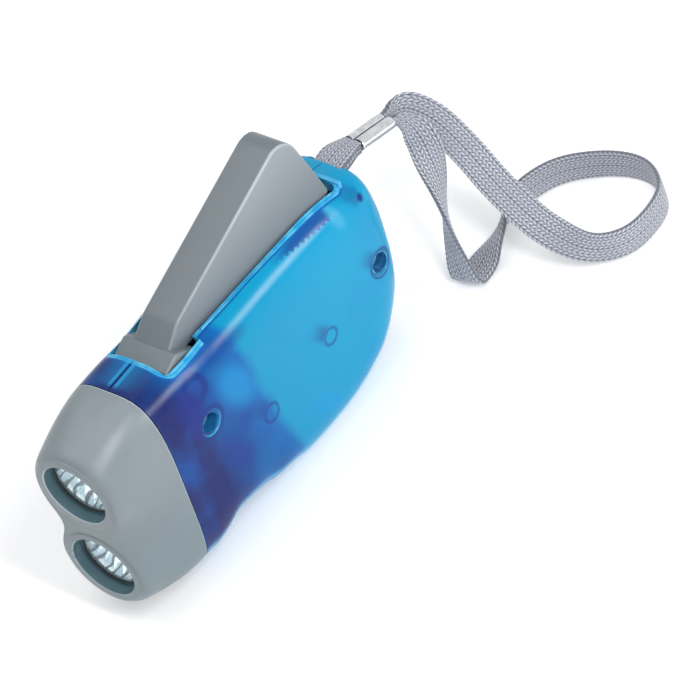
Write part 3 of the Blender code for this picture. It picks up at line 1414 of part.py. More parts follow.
def generator(frame, rotor):
    """Flywheel cup with its magnet ring round a claw-pole stator and its winding."""
    shaft = rod_mesh("rotor_shaft", ROTOR_SHAFT_RADIUS, ROTOR_SHAFT_LOW, ROTOR_SHAFT_HIGH)
    add_object("rotor_shaft", shaft, "steel", rotor)
    bore = ROTOR_SHAFT_RADIUS + SHAFT_GAP
    cup_inner = FLYWHEEL_RADIUS - FLYWHEEL_WALL
    web_low = FLYWHEEL_HIGH - FLYWHEEL_WEB
    hub_high = FLYWHEEL_HIGH + FLYWHEEL_WEB
    turned(
        "flywheel",
        [(bore, hub_high), (FLYWHEEL_HUB_RADIUS, hub_high), (FLYWHEEL_HUB_RADIUS, FLYWHEEL_HIGH),
         (FLYWHEEL_RADIUS, FLYWHEEL_HIGH), (FLYWHEEL_RADIUS, FLYWHEEL_LOW), (cup_inner, FLYWHEEL_LOW),
         (cup_inner, web_low), (bore, web_low)],
        "white_nylon", rotor, (0, 0, 0), (0, 1, 0))
    magnet_outer = cup_inner - SEAT_GAP
    magnet_inner = magnet_outer - MAGNET_THICKNESS
    turned(
        "magnet_ring",
        [(magnet_inner, web_low - SEAT_GAP), (magnet_outer, web_low - SEAT_GAP),
         (magnet_outer, FLYWHEEL_LOW), (magnet_inner, FLYWHEEL_LOW)],
        "magnet_dark", rotor, (0, 0, 0), (0, 1, 0))
    claw_plates(frame, bore)
    plate_inside_low = CLAW_LOW + CLAW_PLATE + SEAT_GAP
    plate_inside_high = CLAW_HIGH - CLAW_PLATE - SEAT_GAP
    tube = CLAW_HUB_RADIUS + SEAT_GAP
    rim = CLAW_RADIUS - SEAT_GAP * 2
    turned(
        "coil_bobbin",
        [(tube, plate_inside_high), (rim, plate_inside_high), (rim, plate_inside_high - BOBBIN_WALL),
         (tube + BOBBIN_WALL, plate_inside_high - BOBBIN_WALL),
         (tube + BOBBIN_WALL, plate_inside_low + BOBBIN_WALL),
         (rim, plate_inside_low + BOBBIN_WALL), (rim, plate_inside_low), (tube, plate_inside_low)],
        "black_rubber", frame, ROTOR_AXLE, (0, 1, 0))
    coil_high = plate_inside_high - BOBBIN_WALL - SEAT_GAP
    coil_low = plate_inside_low + BOBBIN_WALL + SEAT_GAP
    coil_inner = tube + BOBBIN_WALL + SEAT_GAP
    turned(
        "coil_winding",
        [(coil_inner, coil_high), (WINDING_RADIUS, coil_high),
         (WINDING_RADIUS, coil_low), (coil_inner, coil_low)],
        "copper_wire", frame, ROTOR_AXLE, (0, 1, 0))


def claw_plates(frame, bore):
    """The two steel plates whose fingers interleave round the winding."""
    outer = turned(
        "stator_claw_outer",
        [(bore, CLAW_HIGH - CLAW_PLATE - SEAT_GAP), (CLAW_HUB_RADIUS, CLAW_HIGH - CLAW_PLATE - SEAT_GAP),
         (CLAW_HUB_RADIUS, CLAW_LOW + CLAW_PLATE), (CLAW_RADIUS, CLAW_LOW + CLAW_PLATE),
         (CLAW_RADIUS, CLAW_LOW), (bore, CLAW_LOW)],
        "steel", frame, ROTOR_AXLE, (0, 1, 0))
    inner = turned(
        "stator_claw_inner",
        [(bore, CLAW_HIGH), (CLAW_RADIUS, CLAW_HIGH), (CLAW_RADIUS, CLAW_HIGH - CLAW_PLATE),
         (bore, CLAW_HIGH - CLAW_PLATE)],
        "steel", frame, ROTOR_AXLE, (0, 1, 0))
    free = CLAW_PLATE + SEAT_GAP
    for index in range(2 * CLAW_COUNT):
        angle = FULL_TURN * index / (2 * CLAW_COUNT)
        plate = outer if index % 2 else inner
        low = CLAW_LOW if index % 2 else CLAW_LOW + free
        high = CLAW_HIGH - free if index % 2 else CLAW_HIGH
        finger_inner = CLAW_RADIUS - CLAW_FINGER_THICKNESS / 2
        finger_outer = CLAW_RADIUS + CLAW_FINGER_THICKNESS
        mesh = box_mesh(
            f"claw_finger_{index}",
            (finger_inner, low, -CLAW_FINGER_WIDTH / 2), (finger_outer, high, CLAW_FINGER_WIDTH / 2))
        finger = add_cutter(f"claw_finger_{index}", mesh, frame, ROTOR_AXLE)
        finger.rotation_euler = (0, angle, 0)
        combine(plate, finger, "UNION")


def screws(frame):
    """The two screws that hold the housing halves, and the pins that the halves trap."""
    for name, spot in (("housing_screw_front", FRONT_SCREW), ("housing_screw_tail", TAIL_SCREW)):
        head_top = SCREW_SEAT + SCREW_HEAD_HEIGHT
        screw = turned(
            name,
            [(0, head_top), (SCREW_HEAD_RADIUS - SCREW_SLOT_WIDTH, head_top),
             (SCREW_HEAD_RADIUS, head_top - SCREW_SLOT_WIDTH), (SCREW_HEAD_RADIUS, SCREW_SEAT),
             (SCREW_RADIUS, SCREW_SEAT), (SCREW_RADIUS, SCREW_END + SCREW_RADIUS), (0, SCREW_END)],
            "steel", frame, spot, (0, 1, 0), steps=ROUND_STEPS)
        for index, angle in enumerate((0, QUARTER_TURN)):
            half = SCREW_HEAD_RADIUS - 2 * SCREW_SLOT_WIDTH
            mesh = box_mesh(
                f"{name}_cross_{index}",
                (-half, head_top - SCREW_SLOT_DEPTH, -SCREW_SLOT_WIDTH / 2),
                (half, head_top + OVERRUN, SCREW_SLOT_WIDTH / 2))
            cross = add_cutter(f"{name}_cross_{index}", mesh, frame, spot)
            cross.rotation_euler = (0, angle, 0)
            combine(screw, cross, "DIFFERENCE")
    for name, radius, reach, spot in (
        ("hinge_pin", HINGE_PIN_RADIUS, TRAIN_AXLE_REACH, HINGE),
        ("strap_pin", STRAP_PIN_RADIUS, STRAP_PIN_REACH, STRAP_PIN),
    ):
        add_object(name, rod_mesh(name, radius, -reach, reach), "steel", frame, spot)


def electrics(frame):
    """Circuit board with diodes and capacitor, the two cells and their contacts."""
    board = box_mesh(
        "circuit_board",
        (-BOARD_BACK - BOARD_THICKNESS, -BOARD_HALF_WIDTH, BOARD_LOW),
        (-BOARD_BACK, BOARD_HALF_WIDTH, BOARD_HIGH))
    add_object("circuit_board", board, "board_green", frame)
    diode_back = BOARD_BACK - DIODE_RADIUS - SEAT_GAP
    for index in range(4):
        level = BOARD_LOW + DIODE_PITCH * (index + 1)
        mesh = rod_mesh(f"diode_{index + 1}", DIODE_RADIUS, -DIODE_LENGTH / 2, DIODE_LENGTH / 2, steps=12)
        add_object(f"diode_{index + 1}", mesh, "black_rubber", frame, (-diode_back, 0, level))
    mesh = rod_mesh("smoothing_capacitor", CAPACITOR_RADIUS, 0, CAPACITOR_LENGTH, steps=16)
    can_back = BOARD_BACK - CAPACITOR_RADIUS - SEAT_GAP
    add_object(
        "smoothing_capacitor", mesh, "magnet_dark", frame, (-can_back, 0, BOARD_HIGH - CAPACITOR_RADIUS))
    for index in range(2):
        low = CELL_LOW + index * (CELL_THICKNESS + SEAT_GAP)
        high = low + CELL_THICKNESS
        turned(
            f"cell_{index + 1}",
            [(0, high), (CELL_RADIUS - CELL_EDGE_ROUND, high), (CELL_RADIUS, high - CELL_EDGE_ROUND),
             (CELL_RADIUS, low), (0, low)],
            "chrome", frame, CELL_CENTRE, (0, 1, 0))
    top = CELL_LOW + 2 * CELL_THICKNESS + 2 * SEAT_GAP
    contact("cell_contact_inner", top, frame)
    contact("cell_contact_outer", CELL_LOW - SEAT_GAP - CONTACT_THICKNESS, frame)


def contact(name, low, frame):
    """A flat metal strip across a cell."""
    mesh = box_mesh(
        name,
        (-CONTACT_REACH, low, -CONTACT_HALF_WIDTH),
        (CONTACT_REACH, low + CONTACT_THICKNESS, CONTACT_HALF_WIDTH))
    add_object(name, mesh, "steel", frame, CELL_CENTRE)


def slide_switch(frame):
    """The thumb slider in its pocket on the far side, and the switch body behind it."""
    rest = SWITCH_CENTRE - Vector((SWITCH_TRAVEL / 2, 0, 0))
    pocket_floor = SWITCH_POCKET_DEPTH - BODY_HALF_WIDTH
    plate_high = pocket_floor - SEAT_GAP
    plate_low = plate_high - SLIDER_THICKNESS
    slider = add_object(
        "switch_slider",
        box_mesh(
            "switch_slider",
            (-SLIDER_LENGTH / 2, plate_low, -SLIDER_HEIGHT / 2),
            (SLIDER_LENGTH / 2, plate_high, SLIDER_HEIGHT / 2)),
        "grey_plastic", frame, rest)
    pad_inside = -INNER_HALF_WIDTH + SWITCH_PAD - WALL / 2
    stem = box_mesh(
        "slider_stem",
        (-SLIDER_STEM / 2, plate_low + SLIDER_THICKNESS / 2, -SLIDER_STEM / 2),
        (SLIDER_STEM / 2, pad_inside, SLIDER_STEM / 2))
    combine(slider, add_cutter("slider_stem", stem, frame, rest), "UNION")
    for index in range(SLIDER_RIB_COUNT):
        middle = (index - (SLIDER_RIB_COUNT - 1) / 2) * SLIDER_RIB_PITCH
        half_length = SLIDER_HEIGHT / 2 - SLIDER_RIB_WIDTH
        rib = box_mesh(
            f"slider_rib_{index}",
            (middle - SLIDER_RIB_WIDTH / 2, plate_low - SLIDER_RIB_HEIGHT, -half_length),
            (middle + SLIDER_RIB_WIDTH / 2, plate_low + SLIDER_THICKNESS / 2, half_length))
        combine(slider, add_cutter(f"slider_rib_{index}", rib, frame, rest), "UNION")
    body = box_mesh(
        "switch_body",
        (-SWITCH_BODY_LENGTH / 2, pad_inside + SEAT_GAP, -SWITCH_BODY_HEIGHT / 2),
        (SWITCH_BODY_LENGTH / 2, pad_inside + SEAT_GAP + SWITCH_BODY_DEPTH, SWITCH_BODY_HEIGHT / 2))
    add_object("switch_body", body, "steel", frame, SWITCH_CENTRE)


def ribbon_mesh(name, route, facing, steps, pinch_length, pinch_width_share, pinch_thickness_share=1):
    """A flat strap along a route: an oval band whose flat side faces the given directions.

    It is gathered at both ends, where the ferrule holds it.
    """
    places = [Vector(row) for row in smooth_open(route, steps)]
    faces = [Vector(row) for row in smooth_open(facing, steps)]
    runs = [0.0]
    for first, second in zip(places, places[1:]):
        runs.append(runs[-1] + (second - first).length)
    bm = bmesh.new()
    rings = []
    for index, place in enumerate(places):
        ahead = places[min(index + 1, len(places) - 1)] - places[max(index - 1, 0)]
        ahead.normalize()
        flat = faces[index] - ahead * faces[index].dot(ahead)
        flat.normalize()
        across = ahead.cross(flat)
        free = min(min(runs[index], runs[-1] - runs[index]) / pinch_length, 1)
        ease = free * free * (3 - 2 * free)
        half_width = STRAP_WIDTH / 2 * (pinch_width_share + (1 - pinch_width_share) * ease)
        half_thickness = STRAP_THICKNESS / 2 * (pinch_thickness_share + (1 - pinch_thickness_share) * ease)
        ring = [
            bm.verts.new(place + across * (wide * half_width) + flat * (thick * half_thickness))
            for wide, thick in STRAP_SECTION_SHARES
        ]
        rings.append(ring)
    bridge(bm, rings)
    bm.faces.new(rings[0])
    bm.faces.new(rings[-1])
    return mesh_from(bm, name)


def wrist_strap(frame):
    """The doubled neck round the strap pin, the crimped ferrule and the free loop."""
    neck = ribbon_mesh(
        "strap_neck", NECK_ROUTE, neck_facing(), 1, NECK_PINCH_LENGTH, NECK_PINCH_WIDTH_SHARE)
    add_object("strap_neck", neck, "strap_braid", frame)
    loop = ribbon_mesh(
        "strap_loop", LOOP_ROUTE, LOOP_FACING, LOOP_STEPS_PER_POINT, LOOP_PINCH_LENGTH,
        LOOP_PINCH_WIDTH_SHARE, LOOP_PINCH_THICKNESS_SHARE)
    add_object("strap_loop", loop, "strap_braid", frame)
    ferrule(frame)


def neck_facing():
    """Directions square to the neck's route, in the middle plane."""
    facing = []
    for index in range(len(NECK_ROUTE)):
        after = Vector(NECK_ROUTE[min(index + 1, len(NECK_ROUTE) - 1)])
        before = Vector(NECK_ROUTE[max(index - 1, 0)])
        ahead = (after - before).normalized()
        facing.append((-ahead.z, 0.0, ahead.x))
    return facing


def ferrule_outline(grow):
    """The double-barrelled section of the ferrule, drawn in its own plane."""
    radius = FERRULE_BARREL_RADIUS + grow
    offset = FERRULE_BARREL_OFFSET
    waist = math.acos(min(offset / radius * 0.92, 1))
    steps = 12
    right = [
        (offset + radius * math.cos(a), radius * math.sin(a))
        for a in (-HALF_TURN + waist + (FULL_TURN - 2 * waist) * index / steps for index in range(steps + 1))
    ]
    left = [(-x, -z) for x, z in right]
    return right + left


def ferrule(frame):
    """The bright crimp that binds the strap, with a strand in each barrel."""
    mesh = plate_mesh(
        "strap_ferrule", [ferrule_outline(0), ferrule_outline(-FERRULE_WALL)],
        -FERRULE_LENGTH / 2, FERRULE_LENGTH / 2, along="Z")
    item = add_object("strap_ferrule", mesh, "chrome", frame, (-FERRULE_BACK, 0, FERRULE_RISE))
    slope = math.radians(FERRULE_SLOPE_DEG)
    along = Vector((-math.cos(slope), 0, -math.sin(slope)))
    across = Vector((0, 1, 0))
    upward = along.cross(across)
    turn = Matrix((across, upward, along)).transposed()
    item.matrix_local = Matrix.Translation((-FERRULE_BACK, 0, FERRULE_RISE)) @ turn.to_4x4()


def build():
    clear_scene()
    make_collection(PARTS_COLLECTION)
    make_collection(CUTTERS_COLLECTION)
    origin_x = (BODY_LENGTH - HEAD_LENGTH) / 2
    frame = add_empty("flashlight_frame", (origin_x, 0, BELLY_DEPTH))
    cutters = shared_cutters(frame)
    housing_half("housing_left", 1, frame, cutters)
    housing_half("housing_right", -1, frame, cutters)
    head_bezel(frame)
    optics(frame)
    hinge = add_empty("lever_axis", HINGE, frame)
    lever(hinge)
    sector_plate(hinge)
    return_spring(frame)
    rotor = gear_train(frame)
    generator(frame, rotor)
    screws(frame)
    electrics(frame)
    slide_switch(frame)
    wrist_strap(frame)


build()
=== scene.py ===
"""Dynamo flashlight with a wrist strap: its finished look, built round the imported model.

Lengths are in metres. Shapes are first drawn in the part's own frame, whose origin lies where the
grey head meets the blue housing, and are then moved to the row frame.
"""
import math

import bmesh
import bpy
from mathutils import Matrix, Vector
from mathutils.bvhtree import BVHTree


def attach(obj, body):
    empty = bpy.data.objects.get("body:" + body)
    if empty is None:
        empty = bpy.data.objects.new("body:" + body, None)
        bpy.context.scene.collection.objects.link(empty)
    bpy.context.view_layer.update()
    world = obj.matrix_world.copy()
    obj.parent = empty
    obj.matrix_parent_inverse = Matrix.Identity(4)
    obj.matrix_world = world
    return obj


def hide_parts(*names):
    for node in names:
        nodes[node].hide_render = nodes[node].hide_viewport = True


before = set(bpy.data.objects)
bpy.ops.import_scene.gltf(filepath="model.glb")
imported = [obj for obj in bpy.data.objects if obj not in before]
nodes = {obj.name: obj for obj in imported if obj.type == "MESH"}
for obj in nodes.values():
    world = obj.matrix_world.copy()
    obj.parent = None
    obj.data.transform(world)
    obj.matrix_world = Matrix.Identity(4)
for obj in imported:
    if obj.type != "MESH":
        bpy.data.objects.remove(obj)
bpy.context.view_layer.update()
scene = bpy.context.scene

# The part's sizes, as in the CAD source.
BODY_LENGTH = 0.0872
BODY_HALF_WIDTH = 0.0140
BELLY_DEPTH = 0.0306
BODY_RISE = 0.0280
WALL = 0.0016
PARTING_GAP = 0.0003
RIM_RISE = 0.0257
SLOT_FRONT = 0.0104
SLOT_BACK = 0.0780
SLOT_HALF_WIDTH = 0.0067
SLOT_TAIL_HALF_WIDTH = 0.0089
FOOT_SLOT_BACK = 0.0236
FOOT_SLOT_HALF_WIDTH = 0.0088
SLOT_CORNER = 0.0020
SLOT_DEPTH = 0.0150
SEAT_GAP = 0.0003
HEAD_LENGTH = 0.0201
HEAD_WALL = 0.0018
LENS_SPACING = 0.0250
LOBE_REACH = 0.0246
LOBE_HALF_WIDTH = 0.0122
BORE_RADIUS = 0.0088
BORE_WALL = 0.0015
BORE_DEPTH = 0.0150
EXIT_HALF_WIDTH = 0.0050
EXIT_FRONT = 0.0814
EXIT_LOW = 0.0161
EXIT_HIGH = 0.0224
ORIGIN = Vector(((BODY_LENGTH - HEAD_LENGTH) / 2, 0, BELLY_DEPTH))

# The strap's sizes. Each pinch is its length, then the shares of width and thickness at the ferrule.
STRAP_WIDTH = 0.0085
STRAP_THICKNESS = 0.0015
LOOP_PINCH = (0.0090, 0.30, 1.5)
NECK_PINCH = (0.0065, 0.66, 1.0)
FERRULE_RADIUS = 0.00165
FERRULE_OFFSET = 0.0014

NECK_ROUTE = (
    (-0.0943, 0.0, 0.0193), (-0.0915, 0.0, 0.0203), (-0.0880, 0.0, 0.0210), (-0.0845, 0.0, 0.0205),
    (-0.0815, 0.0, 0.0193), (-0.0794, 0.0, 0.01925), (-0.0777, 0.0, 0.0184), (-0.0772, 0.0, 0.0170),
    (-0.0777, 0.0, 0.0155), (-0.0794, 0.0, 0.01475), (-0.0812, 0.0, 0.0156), (-0.0828, 0.0, 0.0173),
    (-0.0846, 0.0, 0.0187), (-0.0880, 0.0, 0.0191), (-0.0915, 0.0, 0.0184), (-0.0938, 0.0, 0.0176),
)
LOOP_ROUTE = (
    (-0.1064, 0.0014, 0.0148), (-0.1074, 0.0016, 0.0146), (-0.1085, 0.0026, 0.0138),
    (-0.1091, 0.0047, 0.0120), (-0.1088, 0.0070, 0.0090), (-0.1077, 0.0086, 0.0045),
    (-0.1067, 0.0097, -0.0015), (-0.1050, 0.0108, -0.0080), (-0.1026, 0.0122, -0.0165),
    (-0.1002, 0.0144, -0.0246), (-0.1003, 0.0152, -0.0278), (-0.1024, 0.0152, -0.0291),
    (-0.1074, 0.0150, -0.0288), (-0.1140, 0.0144, -0.0270), (-0.1247, 0.0124, -0.0260),
    (-0.1368, 0.0164, -0.0262), (-0.1444, 0.0275, -0.0262), (-0.1456, 0.0385, -0.0262),
    (-0.1390, 0.0466, -0.0262), (-0.1264, 0.0468, -0.0262), (-0.1183, 0.0405, -0.0244),
    (-0.1152, 0.0312, -0.0185), (-0.1146, 0.0217, -0.0088), (-0.1153, 0.0132, 0.0012),
    (-0.1153, 0.0063, 0.0084), (-0.1136, 0.0010, 0.0122), (-0.1110, -0.0013, 0.0134),
    (-0.1085, -0.0015, 0.0142), (-0.1064, -0.0014, 0.0148),
)
LOOP_FACING = (
    (0.0, 1.0, 0.0), (0.0, 1.0, 0.0), (0.15, 0.85, 0.35), (0.4, 0.5, 0.65), (0.5, 0.4, 0.4),
    (0.3, 0.8, 0.1), (-0.15, 0.95, 0.0), (-0.55, 0.8, -0.05), (-0.85, 0.45, 0.0), (-0.95, -0.05, 0.1),
    (-0.8, -0.2, 0.55), (-0.15, -0.05, 1.0), (0.0, -0.15, 1.0), (0.0, -0.7, 0.75), (0.0, -1.0, 0.08),
    (-0.55, -0.83, 0.0), (-0.93, -0.35, 0.0), (-1.0, 0.15, 0.0), (-0.4, 0.92, 0.0), (0.25, 0.97, 0.0),
    (0.7, 0.72, 0.1), (0.5, 0.75, 0.4), (0.42, 0.71, 0.51), (0.42, 0.71, 0.51), (0.42, 0.66, 0.56),
    (0.4, 0.6, 0.66), (0.25, 0.8, 0.45), (0.05, 1.0, 0.1), (0.0, 1.0, 0.0),
)

# The housing's outline, its flat side's edge and the exponent of its rounding, as in the CAD source.
BODY_ROW_SHARES = (
    (-0.138, -0.880, -0.138, -0.196, 4.2), (0.000, -0.880, 0.000, -0.196, 4.2),
    (0.062, -0.894, 0.069, -0.245, 4.2), (0.110, -0.878, 0.115, -0.294, 3.8),
    (0.161, -0.838, 0.160, -0.327, 3.5), (0.214, -0.845, 0.207, -0.392, 3.3),
    (0.273, -0.872, 0.264, -0.458, 3.1), (0.290, -0.892, 0.287, -0.490, 3.0),
    (0.334, -0.931, 0.332, -0.556, 3.0), (0.395, -0.961, 0.395, -0.588, 3.0),
    (0.466, -1.020, 0.466, -0.602, 3.0), (0.539, -1.036, 0.539, -0.608, 3.0),
    (0.612, -1.036, 0.607, -0.608, 3.0), (0.691, -1.014, 0.679, -0.600, 3.0),
    (0.782, -0.941, 0.752, -0.556, 3.0), (0.854, -0.863, 0.810, -0.458, 2.9),
    (0.928, -0.686, 0.847, -0.310, 2.7), (0.973, -0.467, 0.867, -0.163, 2.8),
    (0.993, -0.180, 0.877, -0.016, 3.0), (1.000, 0.207, 0.877, 0.143, 3.2),
    (0.999, 0.482, 0.871, 0.268, 3.3), (0.988, 0.700, 0.859, 0.343, 3.3),
    (0.966, 0.796, 0.840, 0.386, 3.2), (0.923, 0.846, 0.810, 0.414, 3.0),
    (0.865, 0.914, 0.764, 0.429, 2.8), (0.777, 0.964, 0.700, 0.429, 2.7),
    (0.599, 0.993, 0.574, 0.429, 2.6), (0.436, 1.000, 0.436, 0.429, 2.6),
    (0.298, 1.000, 0.298, 0.411, 2.5), (0.184, 1.000, 0.184, 0.286, 2.6),
    (0.091, 1.000, 0.091, 0.071, 3.3), (0.000, 1.000, 0.000, -0.065, 3.6),
    (-0.138, 1.000, -0.138, -0.098, 3.6),
)
HEAD_FRONT_SHARES = (
    (0.000, 1.000), (0.205, 0.990), (0.400, 0.960), (0.585, 0.910), (0.745, 0.838), (0.870, 0.748),
    (0.960, 0.640), (1.000, 0.510), (0.980, 0.370), (0.900, 0.235), (0.800, 0.120), (0.735, 0.020),
    (0.735, -0.070), (0.790, -0.165), (0.885, -0.270), (0.970, -0.390), (1.000, -0.510), (0.960, -0.640),
    (0.870, -0.748), (0.745, -0.838), (0.585, -0.910), (0.400, -0.960), (0.205, -0.990), (0.000, -1.000),
)
HEAD_STATION_SHARES = (
    (0.008, 0.00, 1.000), (0.150, 0.03, 1.000), (0.400, 0.20, 1.000), (0.650, 0.50, 1.000),
    (0.850, 0.82, 1.000), (0.940, 0.95, 0.988), (0.985, 1.00, 0.955), (1.000, 1.00, 0.925),
)
HEAD_TOP_POWER = 3.6
HEAD_BOTTOM_POWER = 4.2
HEAD_MIDDLE_SHARE = -0.065
HEAD_BOTTOM_SHARE = 0.880
HEAD_LOW_MIDDLE_SHARE = 0.196

# The view of the photograph: its axes in the row frame, the point at its centre and its scale.
VIEW_RIGHT = Vector((-0.576, 0.777, -0.254))
VIEW_BACK = Vector((0.454, 0.564, 0.697))
VIEW_CENTRE = Vector((-0.02205, 0.0197, 0.0247))
VIEW_DISTANCE = 2.50
VIEW_PIXELS = 700
VIEW_PIXELS_PER_METRE = 4270
SENSOR_WIDTH = 36.0


# ---------------------------------------------------------------- helpers: numbers

def spline_value(a, b, c, d, t):
    """One number of a Catmull-Rom curve between b and c."""
    linear = (c - a) * t
    square = (2 * a - 5 * b + 4 * c - d) * t * t
    cube = (3 * b - a - 3 * c + d) * t * t * t
    return b + (linear + square + cube) / 2


def row_at(rows, share, closed=False):
    """The row at a share of the way along a Catmull-Rom curve through rows of numbers."""
    count = len(rows)
    spans = count if closed else count - 1
    place = min(max(share, 0.0), 1.0) * spans
    index = min(int(place), spans - 1)
    picks = []
    for offset in (-1, 0, 1, 2):
        step = index + offset
        picks.append(rows[step % count] if closed else rows[min(max(step, 0), count - 1)])
    return tuple(spline_value(a, b, c, d, place - index) for a, b, c, d in zip(*picks))


def smooth_open(rows, steps):
    """An open Catmull-Rom curve through rows of numbers, with its ends kept."""
    total = (len(rows) - 1) * steps
    return [row_at(rows, index / total) for index in range(total + 1)]


def ease(value):
    """A smooth step from 0 to 1."""
    value = min(max(value, 0.0), 1.0)
    return value * value * (3 - 2 * value)


def filleted(corners, radii, steps=8):
    """A closed outline with its corners rounded to the given radii."""
    outline = []
    count = len(corners)
    for index, radius in enumerate(radii):
        corner = Vector(corners[index])
        before = Vector(corners[index - 1]) - corner
        after = Vector(corners[(index + 1) % count]) - corner
        if radius <= 0:
            outline.append(tuple(corner))
            continue
        half = before.angle(after) / 2
        tangent = min(radius / math.tan(half), before.length / 2, after.length / 2)
        round_radius = tangent * math.tan(half)
        inward = (before.normalized() + after.normalized()).normalized()
        centre = corner + inward * (round_radius / math.sin(half))
        first = corner + before.normalized() * tangent - centre
        last = corner + after.normalized() * tangent - centre
        for step in range(steps + 1):
            blend = first.lerp(last, step / steps).normalized() * round_radius
            outline.append(tuple(centre + blend))
    return outline


# ---------------------------------------------------------------- helpers: materials

def linear(red, green, blue):
    """A colour given as the 0 to 255 values of a screen, as the renderer takes it."""
    shares = [value / 255 for value in (red, green, blue)]
    return (*(s / 12.92 if s <= 0.04045 else ((s + 0.055) / 1.055) ** 2.4 for s in shares), 1.0)


def darker(colour, share):
    """A screen colour as the renderer takes it, dimmed to a share of its light."""
    return (*(channel * share for channel in linear(*colour)[:3]), 1.0)


class Value:
    """What a shader node gives, with the sums that can be made with it."""

    def __init__(self, paint, socket):
        self.paint = paint
        self.socket = socket

    def __add__(self, other):
        return self.paint.math("ADD", self, other)

    def __sub__(self, other):
        return self.paint.math("SUBTRACT", self, other)

    def __rsub__(self, other):
        return self.paint.math("SUBTRACT", other, self)

    def __mul__(self, other):
        return self.paint.math("MULTIPLY", self, other)

    def __truediv__(self, other):
        return self.paint.math("DIVIDE", self, other)

    def __abs__(self):
        return self.paint.math("ABSOLUTE", self)

    def at_least(self, other):
        return self.paint.math("MAXIMUM", self, other)

    def step(self, low, high, out_low=0.0, out_high=1.0, smooth=True):
        """A smooth or straight change from one value to another as this one goes from low to high."""
        kind = "SMOOTHSTEP" if smooth else "LINEAR"
        node = self.paint.add("ShaderNodeMapRange", interpolation_type=kind)
        return self.paint.fed(node, enumerate((self, low, high, out_low, out_high)))


class Paint:
    """A material with a Principled shader, and short ways to add nodes to it."""

    def __init__(self, name, **values):
        self.material = bpy.data.materials.new(name)
        self.material.use_nodes = True
        self.tree = self.material.node_tree
        self.shader = self.tree.nodes["Principled BSDF"]
        self.place = self.value("ShaderNodeTexCoord", "Object")
        self.base = None
        self.look(**values)

    def give(self, socket, value):
        """A node's value is linked. A colour of three numbers is a screen colour."""
        if isinstance(value, Value):
            self.tree.links.new(value.socket, socket)
        elif socket.type == "RGBA" and len(value) == 3:
            socket.default_value = linear(*value)
        else:
            socket.default_value = value

    def fed(self, node, numbered, output=0):
        """What the node gives once its numbered sockets have their values."""
        for index, value in numbered:
            self.give(node.inputs[index], value)
        return Value(self, node.outputs[output])

    def set(self, node, values):
        """Values go to the node's sockets, by name with _ for a space, or to its settings."""
        for key, value in values.items():
            label = key.replace("_", " ")
            socket = next((s for s in node.inputs if s.name == label and s.enabled), None)
            if socket is None:
                setattr(node, key, value)
            else:
                self.give(socket, value)

    def look(self, **values):
        self.set(self.shader, values)

    def add(self, kind, **values):
        node = self.tree.nodes.new(kind)
        self.set(node, values)
        return node

    def value(self, kind, output=0, **values):
        return Value(self, self.add(kind, **values).outputs[output])

    def math(self, operation, first, second=0.0):
        return self.fed(self.add("ShaderNodeMath", operation=operation), enumerate((first, second)))

    def noise(self, scale, detail, roughness, source=None, stretch=None):
        place = source or self.place
        if stretch:
            place = self.value("ShaderNodeMapping", Vector=place, Scale=stretch)
        return self.value(
            "ShaderNodeTexNoise", "Fac", Vector=place, Scale=scale, Detail=detail, Roughness=roughness)

    def clouds(self, scale, detail, roughness, *steps):
        """Noise whose values between two limits are stretched from 0 to 1, or between two others."""
        return self.noise(scale, detail, roughness).step(*steps)

    def ramp(self, source, stops):
        """Colours along a value, from rows of a place and a screen colour."""
        node = self.add("ShaderNodeValToRGB", Fac=source)
        elements = node.color_ramp.elements
        while len(elements) < len(stops):
            elements.new(0.5)
        for element, (spot, *colour) in zip(elements, stops):
            element.position = spot
            element.color = linear(*colour)
        return Value(self, node.outputs["Color"])

    def blend(self, share, first, second):
        node = self.add("ShaderNodeMix", data_type="RGBA")
        return self.fed(node, ((0, share), (6, first), (7, second)), 2)

    def tint(self, share, colour):
        """Lay a colour over the base colour, as far as the share says."""
        self.base = self.blend(share, self.base, colour)
        self.look(Base_Color=self.base)

    def mark(self, name):
        return self.value("ShaderNodeAttribute", "Fac", attribute_name=name)

    def split(self, source):
        node = self.add("ShaderNodeSeparateXYZ", Vector=source)
        return [Value(self, output) for output in node.outputs]

    def axes(self):
        """The place in the part's own frame."""
        x, y, z = self.split(self.place)
        return x - ORIGIN.x, y, z - ORIGIN.z

    def bump(self, source, strength, distance):
        self.look(Normal=self.value("ShaderNodeBump", Strength=strength, Distance=distance, Height=source))


def length_of(first, second):
    return first.paint.math("SQRT", first * first + second * second)


def turned_place(x, z, back, rise, first, second):
    """How far along and across a direction the place is, from a given point."""
    off_x = x - back
    off_z = z - rise
    return off_x * first + off_z * second, off_x * second - off_z * first


# ---------------------------------------------------------------- materials

def moulded(name, colour, roughness, shade=0.88, **values):
    """Moulded plastic: a fine grain, faint clouds in its colour and slight wear in its gloss."""
    paint = Paint(name, **values)
    paint.base = darker(colour, shade)
    paint.tint(paint.clouds(90.0, 4.0, 0.6, 0.3, 0.7), colour)
    paint.look(Roughness=paint.clouds(260.0, 5.0, 0.65, 0.2, 0.8, roughness - 0.05, roughness + 0.07))
    paint.bump(paint.noise(5200.0, 2.0, 0.6), 0.35, 0.00002)
    return paint


def metal(name, colour, roughness, streaks=(1.0, 1.0, 1.0)):
    """Plated or turned metal: fine streaks and small changes in its gloss."""
    paint = Paint(name, Metallic=1.0)
    paint.base = colour
    paint.tint(paint.clouds(420.0, 4.0, 0.6, 0.35, 0.7), darker(colour, 0.8))
    paint.look(Roughness=paint.clouds(900.0, 4.0, 0.6, 0.25, 0.75, roughness * 0.7, roughness * 1.5))
    paint.bump(paint.noise(3000.0, 3.0, 0.6, stretch=streaks), 0.3, 0.000008)
    return paint


